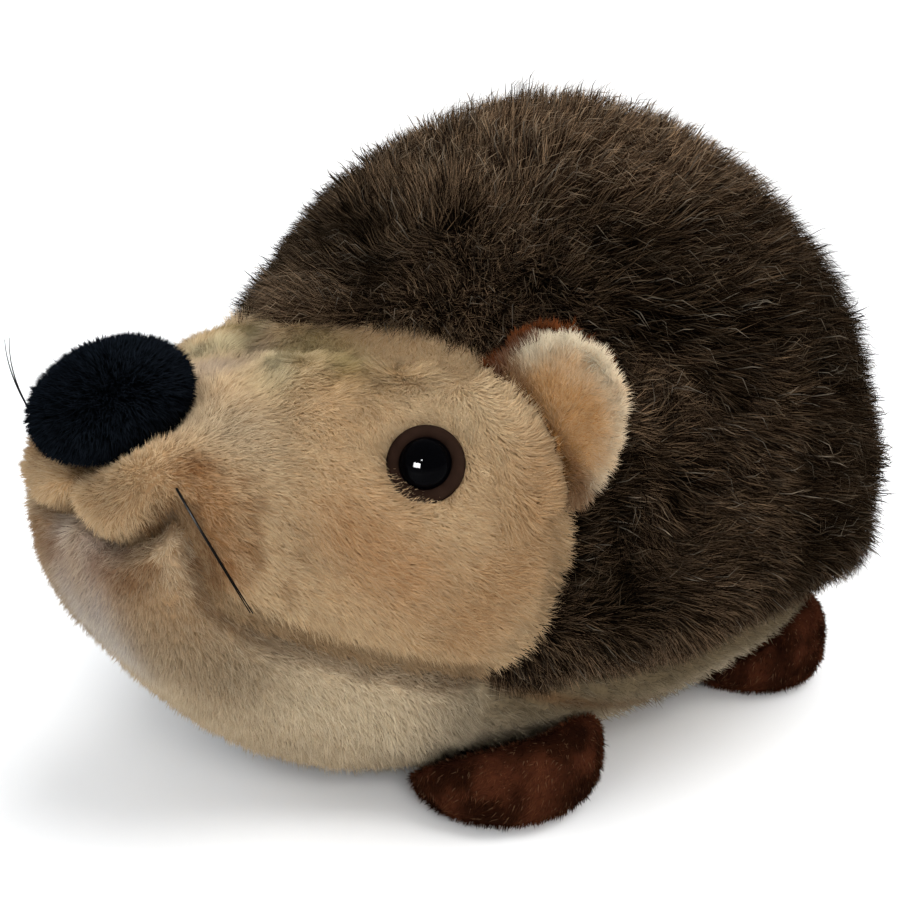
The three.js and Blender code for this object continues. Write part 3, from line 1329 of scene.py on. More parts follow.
FACE_MARKS = (
    # Painted sheen: a grey stripe along the snout's top ridge, where light from above catches it.
    Airbrush("#6c6a70", 0.85, 5.0, ((0.0, 20.0, 88.0), (-1.5, 30.0, 91.0), (0.0, 42.0, 94.0))),
    Airbrush("#9b8f7a", 0.58, 9.0, ((12.0, 20.0, 85.0), (20.0, 25.0, 82.0))),
    # Painted highlight: a pale stripe along the muzzle fold, where the pile in the valley catches the
    # light.
    Airbrush("#b5a78c", 0.3, 3.4, MUZZLE_FOLD),
    Airbrush("#6c6636", 0.8, 6.5, ((9.0, 50.0, 95.5), (14.0, 51.0, 94.0), (20.0, 50.0, 93.0))),
    Airbrush("#a5a584", 0.7, 6.0, ((13.0, 37.0, 91.0), (8.0, 42.0, 93.5))),
    # Painted highlight: a lighter patch on the brow in front of the ear.
    Airbrush("#e2c79f", 0.5, 8.0, ((37.0, 56.0, 90.0), (42.0, 63.0, 88.0))),
    Airbrush("#7d5d2b", 0.6, 4.6, ((25.0, 46.0, 91.5), (28.0, 53.0, 92.0), (30.0, 61.0, 92.0))),
    Airbrush("#a4672c", 0.5, 9.0, ((37.0, 37.0, 64.0), (44.0, 44.0, 56.0))),
    Airbrush("#96632f", 0.55, 9.0, ((56.0, 68.0, 72.0), (57.0, 63.0, 58.0), (50.0, 54.0, 45.0))),
    Airbrush("#824f20", 0.7, 5.8, ((25.5, 12.5, 77.0), (30.0, 14.0, 70.0), (31.0, 14.0, 60.0))),
    Airbrush("#7d5834", 0.42, 6.5, ((12.0, 1.5, 72.0), (20.0, 2.5, 72.0))),
    Airbrush("#3d2211", 0.85, 1.7, ((0.0, 0.2, 70.5), (0.0, 0.2, 66.7))),
    Airbrush("#3d2211", 0.85, 1.6, MOUTH_LINE),
)
CHIN_MARKS = (
    # Painted shade: the chin's front is darkened, as little light reaches it from below.
    Airbrush("#7d674c", 0.7, 13.0, ((4.0, 4.0, 44.0), (20.0, 9.0, 44.0), (28.0, 18.0, 36.0))),
    Airbrush("#d8c5a4", 0.5, 11.0, ((30.0, 32.0, 28.0), (38.0, 44.0, 24.0))),
    # Painted sheen: a bluish-grey haze along the front edges of the chin.
    Airbrush("#c6c5cb", 0.48, 8.0, ((-6.0, 2.5, 60.0), (-5.0, 4.0, 50.0), (-2.0, 8.0, 38.0))),
    Airbrush("#8a6238", 0.5, 9.0, ((2.0, 0.8, 57.0), (18.0, 2.6, 56.0), (27.0, 10.0, 54.0))),
    Airbrush("#6d4420", 0.6, 3.4, ((8.0, 0.8, 58.5), (14.0, 1.3, 56.5), (20.0, 3.0, 58.5))),
    Airbrush("#3d2211", 0.7, 1.7, MOUTH_LINE),
)
SEAM_DYE = "#4f3117"
TAN_DYE = "#bb8f5e"
SPECK_DYE = "#774e27"
# Painted shade on the cream panels under the coat's hanging edge.
HEM_PAINTED_SHADE = "#4b3e29"


FAR = 200.0


def seam_gap(gaps: np.ndarray) -> np.ndarray:
    """Measures how far the coat's places lie from the short fabrics."""
    return np.delete(gaps, COAT, axis=1).min(1)


@dataclass
class StuffedBody:
    """The body: one filled cloth of sewn panels, and the pile on each panel."""

    datum: Datum
    middle: Place = (0.0, 95.0, 55.0)
    coat_depth: float = 8.0
    coat_edge_share: float = 0.3
    coat_rounding: float = 20.0
    brow_overhang: float = 1.0
    pile_depth: float = 2.0
    clear_of_ears: float = 15.0
    clear_of_eyes: float = 4.0
    voxel: float = 3.2
    seam_depth: float = 1.6
    seam_width: float = 2.6
    filling: Filling = Filling(pressure=4.0, reach=1.6)
    solids: dict[Panel, Solid] = field(init=False)
    skin: Skin = field(init=False)
    gaps: np.ndarray = field(init=False)

    def __post_init__(self) -> None:
        """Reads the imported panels."""
        self.solids = {panel: Solid(self.datum, panel.value) for panel in PANELS}

    def build(self) -> Skin:
        """Makes the filled cloth and returns it for the pile.

        Returns:
            The skin.
        """
        cloth = self.cast_over_panels()
        apply_modifier(cloth, "REMESH", mode="VOXEL", voxel_size=self.voxel * MM)
        apply_modifier(cloth, "SMOOTH", factor=0.5, iterations=2)
        seams = self.seam_share(self.panel_gaps(self.datum.to_places(points_of(cloth.data))))
        fill_with_stuffing(cloth, self.filling, pinned=seams)
        apply_modifier(cloth, "SUBSURF", levels=1, render_levels=1)
        self.draw_in_seams(cloth)
        smooth_shaded(cloth)
        self.skin = Skin(cloth, self.datum)
        self.gaps = self.panel_gaps(self.skin.places)
        write_dye(cloth.data, self.dye(self.skin.places, self.gaps))
        cloth.data.materials.append(BACKING.material())
        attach(cloth, BODY)
        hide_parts(*(panel.value for panel in PANELS))
        return self.skin

    def cast_over_panels(self) -> Object:
        """Shapes a ball to the panels' outside, less the depth of their pile.

        Returns:
            The closed cloth.
        """
        bpy.ops.object.select_all(action="DESELECT")
        bpy.ops.mesh.primitive_ico_sphere_add(subdivisions=7, radius=1.0)
        cloth = bpy.context.object
        cloth.name = cloth.data.name = "body_cloth"
        rays = unit(points_of(cloth.data))
        middle = np.array(self.middle)
        tree = Solid(self.datum, *(panel.value for panel in PANELS)).tree
        hits = [tree.ray_cast(tuple(middle + FAR * ray), tuple(-ray))[3] for ray in rays]
        places = middle + (FAR - np.array(hits))[:, None] * rays
        edges = edges_of(cloth.data)
        hidden = self.is_hidden(places)
        by_ear = self.is_at_ear(places)
        places = relaxed(places, edges, 400, hidden)
        set_points(cloth.data, self.datum.to_metres(places))
        depth = relaxed(self.pile_depth_at(places), edges, 6, np.ones(len(places), bool))
        depth = np.where(by_ear, self.pile_depth, relaxed(depth, edges, 300, hidden & ~by_ear))
        places = places - depth[:, None] * normals_of(cloth.data)
        set_points(cloth.data, self.datum.to_metres(places))
        return cloth

    def is_at_ear(self, places: np.ndarray) -> np.ndarray:
        """Marks the places in front of an ear, up to its seam."""
        return np.any([EarSeat.on(side).has_behind(places) for side in Side], axis=0)

    def is_hidden(self, places: np.ndarray) -> np.ndarray:
        """Marks the places whose solid is parted for an ear or an eye.

        Args:
            places: Places on the cloth.

        Returns:
            True for each hidden place.
        """
        pieces = [f"ear_{side.word}_{face}" for side in Side for face in ("front", "back")]
        by_ear = Solid(self.datum, *pieces).distance(places) < self.clear_of_ears
        rings = [f"eye_{side.word}_ring" for side in Side]
        return by_ear | (Solid(self.datum, *rings).distance(places) < self.clear_of_eyes)

    def packed_gaps(self, places: np.ndarray) -> np.ndarray:
        """Measures each place's distance to each packed panel, in the panels' order."""
        return np.stack([self.solids[panel].distance(places) for panel in PANELS], axis=1)

    def panel_gaps(self, places: np.ndarray) -> np.ndarray:
        """Measures distances to the sewn panels, whose coat starts behind its overhang.

        Args:
            places: Places on the cloth.

        Returns:
            One column for each panel, in millimetres.
        """
        gaps = self.packed_gaps(places)
        _, behind, above = places.T
        brow = smoothstep(72.0, 84.0, above) * smoothstep(80.0, 66.0, behind)
        gaps[:, COAT] += self.brow_overhang * brow
        gaps[:, COAT] += 30.0 * self.is_at_ear(places)
        return gaps

    def pile_depth_at(self, places: np.ndarray) -> np.ndarray:
        """Works out how far the cloth lies inside the tips of the pile.

        Args:
            places: Places on the cloth.

        Returns:
            The depth at each place, in millimetres.
        """
        gaps = self.packed_gaps(places)
        seam = seam_gap(gaps)
        share = np.clip(seam / self.coat_rounding, 0.0, 1.0)
        rounded = self.coat_edge_share + (1 - self.coat_edge_share) * np.sqrt(1 - (1 - share) ** 2)
        in_coat = gaps.argmin(1) == COAT
        short = self.pile_depth * (0.45 + 0.55 * smoothstep(8.0, 30.0, places[:, 1]))
        return np.where(in_coat, self.coat_depth * rounded, short)

    def seam_share(self, gaps: np.ndarray) -> np.ndarray:
        """Falls from 1 on a sewn seam to nothing beside it.

        Args:
            gaps: Distances to the panels.

        Returns:
            The share at each place.
        """
        cream = gaps[:, [CHIN, BELLY]].min(1)
        ordered = np.sort(np.stack([gaps[:, FACE], cream, gaps[:, COAT]], axis=1), axis=1)
        return np.exp(-(((ordered[:, 1] - ordered[:, 0]) / self.seam_width) ** 2))

    def draw_in_seams(self, cloth: Object) -> None:
        """Pulls the cloth in along its seams and creases.

        Args:
            cloth: The filled cloth.
        """
        places = self.datum.to_places(points_of(cloth.data))
        depth = self.seam_depth * self.seam_share(self.panel_gaps(places))
        for crease in BODY_CREASES:
            depth += crease.depths(places)
        places = places - depth[:, None] * normals_of(cloth.data)
        for eye in map(EyeSeat.on, Side):
            places = eye.sunk(places)
        set_points(cloth.data, self.datum.to_metres(places))

    def coat_painted_light(self, places: np.ndarray) -> np.ndarray:
        """Scales the coat's dye as painted light: up on its top, rump, brow and low edge, down elsewhere.

        Args:
            places: Places on the coat.

        Returns:
            The factor at each place.
        """
        _, behind, above = places.T
        # Painted light: the top, rump and brow are lit as if from above and behind, the low edge gets a
        # painted fill, and the 0.75 base is painted shade on the rest.
        top = 2.4 * smoothstep(108.0, 130.0, above)
        rump = 3.6 * smoothstep(157.0, 190.0, behind) * smoothstep(45.0, 70.0, above)
        brow = 3.1 * smoothstep(74.0, 54.0, behind) * smoothstep(14.0, -6.0, places[:, 0])
        low = 0.9 * smoothstep(50.0, 32.0, above) * smoothstep(58.0, 74.0, behind)
        return 0.75 + np.maximum(np.maximum(top, rump), np.maximum(brow, low))

    def dye(self, places: np.ndarray, gaps: np.ndarray) -> np.ndarray:
        """Works out the cloth's colour, which its pile shares, with painted light and shade in places.

        Args:
            places: Places on the cloth.
            gaps: Their distances to the panels.

        Returns:
            A linear colour for each place.
        """
        _, behind, above = places.T
        owner = gaps.argmin(1)
        dye = np.array([linear(FABRIC[panel]) for panel in PANELS])[owner]
        mottle = 0.4 * Noise.COAT_MOTTLE.values(places) + 0.4 * Noise.FINE_COAT_MOTTLE.values(places)
        # The coat's painted light and shade, with its random mottle.
        painted_light_and_mottle = self.coat_painted_light(places) + mottle
        dye = np.where((owner == COAT)[:, None], dye * painted_light_and_mottle[:, None], dye)
        warm = smoothstep(-0.3, 0.9, Noise.FACE_WARMTH.values(places))
        dye = mix(dye, linear(TAN_DYE), 0.35 * warm * (owner == FACE))
        grain = Noise.SPECKS.values(places) + 0.4 * Noise.FINE_SPECKS.values(places)
        snout = smoothstep(34.0, 20.0, behind) * smoothstep(44.0, 54.0, above)
        speck = 0.62 * smoothstep(0.0, 0.7, grain) * snout
        dye = mix(dye, linear(SPECK_DYE), speck * (owner != COAT))
        for marks, panel in ((FACE_MARKS, FACE), (CHIN_MARKS, CHIN)):
            marked = dye
            for mark in marks:
                marked = mark.sprayed(places, marked)
            dye = mix(dye, marked, owner == panel)
        # The chin's rear fades into the belly's darker cream, which is painted shade.
        dye = mix(dye, linear(FABRIC[Panel.BELLY]), smoothstep(40.0, 60.0, behind) * (owner == CHIN))
        # Painted shade on the chin and belly just under the coat's edge.
        hem_shade = smoothstep(21.0, 6.0, gaps[:, COAT]) * smoothstep(46.0, 66.0, behind)
        dye = mix(dye, linear(HEM_PAINTED_SHADE), 0.85 * hem_shade * np.isin(owner, (CHIN, BELLY)))
        jaw = np.exp(-(((gaps[:, FACE] - gaps[:, CHIN]) / 1.2) ** 2))
        return mix(dye, linear(SEAM_DYE), 0.6 * jaw * (owner != COAT))


@dataclass(frozen=True)
class Plot:
    """One stretch of pile on the body: where it grows, how much, and what it is."""

    name: str
    slot: str
    panel: int
    count: int
    lock: Lock
    shading: Shading
    finish: PileFinish
    inside: PlaceRule = lambda places: np.ones(len(places), bool)


FINE = Lock(10.0, 0.27, lift=0.54, bends=1, uneven=0.15, stray=0.7, gather=0.5, gather_size=3.2)
LONG = Lock(9.8, 0.25, lift=0.5, arch=0.3, uneven=0.15, stray=0.8, gather=0.4, gather_size=3.0)
COAT_SHADING = Shading(root=0.02, tip="#ab8c6c", tip_share=0.78, spread=0.6, rarity=4.0)
# Painted shade: the flanks' locks get fewer light tips than the brow and back.
FLANK_PAINTED_SHADE = replace(COAT_SHADING, tip_share=0.64)
GUARD_SHADING = Shading(
    root=0.05,
    tip="#b39c80",
    tip_share=0.8,
    spread=0.5,
    rarity=1.8,
    fleck="#b5a895",
    fleck_share=0.08,
    fleck_strength=0.35,
)
CHEEK_LOCK = Lock(3.5, 0.32, lift=0.4, bends=1, uneven=0.3, stray=0.4, gather=0.25, gather_size=2.0)
MUZZLE_LOCK = Lock(3.4, 0.33, lift=0.56, bends=1, uneven=0.35, stray=0.6, gather=0.5, gather_size=2.0)
FACE_SHADING = Shading(root=0.66, tip="#e3d2b0", tip_share=0.45, spread=0.1)
CREAM_SHADING = Shading(root=0.6, tip="#e8d9bc", tip_share=0.5, spread=0.1)


def is_brow(places: np.ndarray) -> np.ndarray:
    """Marks the coat's front top part."""
    return (places[:, 1] < 92) & (places[:, 2] > 74)


def is_back(places: np.ndarray) -> np.ndarray:
    """Marks the coat's rear top part."""
    return (places[:, 1] >= 92) & (places[:, 2] > 92)


def is_flank(places: np.ndarray, side: Side, rear: bool) -> np.ndarray:
    """Marks the front or rear part of one side of the coat."""
    own = places[:, 0] * side.value > 0
    return ~is_brow(places) & ~is_back(places) & own & ((places[:, 1] > 120) == rear)


def coat_plot(name: str, count: int, shading: Shading, inside: PlaceRule) -> Plot:
    """Describes one stretch of the coat's fine locks."""
    return Plot(name, "coat_brown", COAT, count, FINE, shading, LONG_COAT, inside)


def face_plot(name: str, count: int, lock: Lock, inside: PlaceRule) -> Plot:
    """Describes one stretch of the face's short pile."""
    return Plot(name, "face_tan", FACE, count, lock, FACE_SHADING, SHORT_PILE, inside)


def cream_plot(name: str, panel: int, count: int, lock: Lock) -> Plot:
    """Describes the short pile of one cream panel."""
    return Plot(name, "underside_cream", panel, count, lock, CREAM_SHADING, SHORT_PILE)


MUZZLE_END = 30
PLOTS = (
    coat_plot("coat_brow", 38000, COAT_SHADING, is_brow),
    coat_plot("coat_back", 38000, COAT_SHADING, is_back),
    coat_plot("coat_front_left", 22000, FLANK_PAINTED_SHADE, lambda p: is_flank(p, Side.LEFT, False)),
    coat_plot("coat_rear_left", 28000, FLANK_PAINTED_SHADE, lambda p: is_flank(p, Side.LEFT, True)),
    coat_plot("coat_front_right", 20000, FLANK_PAINTED_SHADE, lambda p: is_flank(p, Side.RIGHT, False)),
    coat_plot("coat_rear_right", 26000, FLANK_PAINTED_SHADE, lambda p: is_flank(p, Side.RIGHT, True)),
    Plot("coat_guard", "coat_brown", COAT, 17000, LONG, GUARD_SHADING, LONG_COAT),
    face_plot("muzzle_pile", 34000, MUZZLE_LOCK, lambda p: p[:, 1] < MUZZLE_END),
    face_plot("cheek_pile_left", 50000, CHEEK_LOCK, lambda p: (p[:, 1] >= MUZZLE_END) & (p[:, 0] > 0)),
    face_plot("cheek_pile_right", 30000, CHEEK_LOCK, lambda p: (p[:, 1] >= MUZZLE_END) & (p[:, 0] <= 0)),
    cream_plot("chin_pile", CHIN, 44000, MUZZLE_LOCK),
    cream_plot("belly_pile", BELLY, 15000, CHEEK_LOCK),
)


@dataclass
class BodyPile:
    """Combs and plants the pile of the body's panels."""

    body: StuffedBody
    crown: Place = (5.0, 90.0, 118.0)
    tuft: Place = (-12.0, 127.0, 100.0)
    nose_middle: np.ndarray = field(init=False)
    eyes: list[EyeSeat] = field(init=False)
    ears: list[EarSeat] = field(init=False)

    def __post_init__(self) -> None:
        """Reads where the nose, the eyes and the ears are."""
        self.nose_middle = Solid(self.body.datum, "nose").places.mean(0)
        self.eyes = [EyeSeat.on(side) for side in Side]
        self.ears = [EarSeat.on(side) for side in Side]

    def brow_share(self, places: np.ndarray) -> np.ndarray:
        """Rises to 1 behind the brow seam, where the coat falls forward.

        Args:
            places: The roots.

        Returns:
            The share at each root.
        """
        x, behind, above = places.T
        seam = np.minimum(41.5 + 0.76 * np.abs(x), 71.0)
        return smoothstep(44.0, 14.0, behind - seam) * smoothstep(80.0, 92.0, above)

    def tuft_share(self, places: np.ndarray) -> np.ndarray:
        """Rises to 1 at the small tuft that stands up on the back."""
        x, behind, above = (places - self.tuft).T
        return smoothstep(3.4, 1.4, np.hypot(x, behind)) * (above > 0.0)

    def lie(self, places: np.ndarray, normals: np.ndarray, coat: np.ndarray) -> np.ndarray:
        """Combs the pile: the direction in which each lock lies.

        Args:
            places: The roots.
            normals: The cloth's normals there.
            coat: True for roots of the long coat.

        Returns:
            A direction along the cloth for each root.
        """
        x, behind, above = places.T
        climb = 0.55 - 1.0 * smoothstep(76.0, 114.0, behind)
        climb -= 2.2 * smoothstep(48.0, 36.0, above)
        climb -= 0.9 * smoothstep(172.0, 200.0, behind)
        side = 0.3 * np.clip(x / 40.0, -1.0, 1.0)
        long = np.stack([side, np.ones_like(x), climb], axis=1)
        from_crown = unit(places - self.crown) + (0.0, -0.15, 0.0)
        long = mix(long, 1.7 * from_crown, self.brow_share(places))
        long += 0.75 * Noise.COAT_WAVES.vectors(places) + 0.95 * Noise.COAT_CURLS.vectors(places)
        long += 0.5 * Noise.COAT_FRIZZ.vectors(places)
        away = unit(places - self.nose_middle) + (0.0, 0.3, 0.0)
        high = smoothstep(55.0, 85.0, above)
        cheek = np.stack([0 * x, 1.0 - 0.85 * high, -0.35 - 0.7 * high], axis=1)
        short = mix(away, cheek, smoothstep(30.0, 46.0, behind))
        for ear in self.ears:
            short = mix(short, ear.out, 0.8 * ear.fringe_share(places))
        short += 0.35 * Noise.SHORT_WAVES.vectors(places) + 0.3 * Noise.SHORT_CURLS.vectors(places)
        return along_cloth(np.where(coat[:, None], long, short), normals)

    def stature(self, places: np.ndarray, gaps: np.ndarray, coat: np.ndarray) -> np.ndarray:
        """Works out how long each lock is, as a share of its kind's length.

        Args:
            places: The roots.
            gaps: Their distances to the panels.
            coat: True for roots of the long coat.

        Returns:
            The share for each root.
        """
        seam = seam_gap(gaps)
        brow = smoothstep(4.0, -8.0, places[:, 0]) * smoothstep(70.0, 84.0, places[:, 2])
        long = 0.6 + 0.4 * smoothstep(0.0, 14.0, seam) + 0.7 * brow * smoothstep(16.0, 0.0, seam)
        long *= 1.0 + 0.12 * Noise.COAT_LENGTH.values(places) + 0.25 * self.tuft_share(places)
        short = 1.0 + 0.2 * Noise.SHORT_LENGTH.values(places)
        for eye in self.eyes:
            below = smoothstep(2.0, -4.0, places[:, 2] - eye.middle[2])
            near = smoothstep(4.0, 0.5, eye.distance(places))
            short *= 0.75 + 0.25 * smoothstep(0.0, 7.0, eye.distance(places)) + 0.35 * near * below
        for line, width in ((MOUTH_LINE, 2.4), (PHILTRUM, 2.0), (JAW_SEAM, 1.5)):
            short *= 1.0 - 0.6 * falloff(places, line, width)
        short *= 0.8 + 0.2 * smoothstep(16.0, 40.0, places[:, 1])
        short *= 1.0 + 0.3 * self.body.is_at_ear(places)
        for ear in self.ears:
            short *= 1.0 + 0.12 * ear.slide * ear.fringe_share(places)
        return np.where(coat, long, short)

    def lift(self, places: np.ndarray, gaps: np.ndarray, coat: np.ndarray) -> np.ndarray:
        """Works out how much more steeply than its kind each lock stands.

        Args:
            places: The roots.
            gaps: Their distances to the panels.
            coat: True for roots of the long coat.

        Returns:
            What is added to each lock's lift.
        """
        seam = seam_gap(gaps)
        upright = 0.26 * smoothstep(5.0, 20.0, np.abs(places[:, 0])) - 0.12
        long = upright * self.brow_share(places) * smoothstep(4.0, 16.0, seam)
        long += 0.15 * Noise.COAT_LIFT.values(places) - 0.1 * smoothstep(44.0, 34.0, places[:, 2])
        long += 0.35 * self.tuft_share(places)
        short = 0.1 * Noise.SHORT_LIFT.values(places)
        for eye in self.eyes:
            short += 0.35 * smoothstep(3.5, 0.5, eye.distance(places))
        for ear in self.ears:
            short += 0.25 * ear.fringe_share(places)
        return np.where(coat, long, short)

    def is_bare(self, places: np.ndarray) -> np.ndarray:
        """Marks roots that an eye covers."""
        return np.any([eye.distance(places) < -1.0 for eye in self.eyes], axis=0)

    def plant(self, plot: Plot, seed: int) -> Object:
        """Grows the pile of one plot.

        Args:
            plot: The stretch of pile.
            seed: The random numbers' seed.

        Returns:
            The finished piece.
        """
        body, skin = self.body, self.body.skin
        dice = np.random.default_rng(seed)
        density = (body.gaps.argmin(1) == plot.panel) & plot.inside(skin.places)
        corners, weights = skin.scatter(plot.count, density.astype(float), dice)
        places = at_spots(skin.places, corners, weights)
        normals = unit(at_spots(skin.normals, corners, weights))
        gaps = at_spots(body.gaps, corners, weights)
        owner = gaps.argmin(1)
        coat = owner == COAT
        roots = Roots(
            places,
            normals,
            self.lie(places, normals, coat),
            body.dye(places, gaps),
            self.stature(places, gaps, coat),
            self.lift(places, gaps, coat),
        )
        kept = (owner == plot.panel) & ~self.is_bare(places)
        pile = Pile(plot.name, plot.slot, plot.lock, plot.shading, plot.finish, seed)
        return pile.grow(roots.only(kept), body.datum)


# ---- Small stuffed pieces --------------------------------------------------


@dataclass
class SmallSkin:
    """The filled cloth of a small piece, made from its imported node."""

    datum: Datum
    node: str
    name: str
    voxel: float
    pile_depth: float
    filling: Filling
    creases: tuple[Crease, ...] = ()
    trim: PlaceRule = lambda places: places

    def build(self, dye: PlaceRule) -> Skin:
        """Makes the cloth.

        Args:
            dye: Gives the linear colour at each place.

        Returns:
            The skin, ready for its pile.
        """
        cloth = copy_of(self.node, self.name)
        apply_modifier(cloth, "REMESH", mode="VOXEL", voxel_size=self.voxel * MM)
        apply_modifier(cloth, "SMOOTH", factor=0.5, iterations=3)
        points = points_of(cloth.data) - self.pile_depth * MM * normals_of(cloth.data)
        places = self.trim(self.datum.to_places(points))
        set_points(cloth.data, self.datum.to_metres(places))
        fill_with_stuffing(cloth, self.filling)
        apply_modifier(cloth, "SUBSURF", levels=1, render_levels=1)
        self.draw_in(cloth)
        smooth_shaded(cloth)
        skin = Skin(cloth, self.datum)
        write_dye(cloth.data, dye(skin.places))
        cloth.data.materials.append(BACKING.material())
        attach(cloth, BODY)
        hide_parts(self.node)
        return skin

    def draw_in(self, cloth: Object) -> None:
        """Pulls the cloth in along its creases and keeps it off the floor.

        Args:
            cloth: The filled cloth.
        """
        places = self.datum.to_places(points_of(cloth.data))
        depth = np.zeros(len(places))
        for crease in self.creases:
            depth = np.maximum(depth, crease.depths(places))
        places = places - depth[:, None] * normals_of(cloth.data)
        places[:, 2] = np.maximum(places[:, 2], 0.0)
        set_points(cloth.data, self.datum.to_metres(places))


def planted(
    skin: Skin, count: int, density: np.ndarray, lie: PlaceRule, dye: PlaceRule, seed: int
) -> Roots:
    """Draws roots on a small skin.

    Args:
        skin: The cloth to plant.
        count: How many locks to plant.
        density: How thickly each point of the skin is planted, from 0 to 1.
        lie: Gives the direction in which the pile lies at each place.
        dye: Gives the linear colour at each place.
        seed: The random numbers' seed.

    Returns:
        The roots.
    """
    corners, weights = skin.scatter(count, density, np.random.default_rng(seed))
    places = at_spots(skin.places, corners, weights)
    normals = unit(at_spots(skin.normals, corners, weights))
    ones = np.ones(len(places))
    return Roots(places, normals, along_cloth(lie(places), normals), dye(places), ones, 0.0 * ones)


@dataclass
class Nose:
    """A pompom of dense black pile on a small filled pad."""

    datum: Datum
    body: Skin
    lock: Lock = Lock(2.7, 0.46, lift=0.8, bends=1, stray=0.8, gather=0.5, gather_size=1.8)
    # The bluish-grey tips are painted sheen on the black pile.
    shading: Shading = Shading(root=0.1, tip="#2b323b", tip_share=0.45, spread=0.4)
    filling: Filling = Filling(pressure=3.0, reach=0.6)
    count: int = 20000

    def dye(self, places: np.ndarray) -> np.ndarray:
        """Colours the pompom in an even black."""
        return evenly("#030406", len(places))

    def build(self) -> tuple[Object, ...]:
        """Makes the pad and its pile.

        Returns:
            Both pieces.
        """
        cloth = SmallSkin(self.datum, "nose", "nose_cloth", 1.6, 2.0, self.filling)
        skin = cloth.build(self.dye)
        crown = skin.places.mean(0) - (0.0, 0.0, -6.0)
        shown = (self.body.depth(skin.places) < 1.0).astype(float)
        roots = planted(skin, self.count, shown, lambda places: places - crown, self.dye, 41)
        pile = Pile("nose_pile", "nose_black", self.lock, self.shading, NOSE_PILE, 42)
        return skin.piece, pile.grow(roots, self.datum)


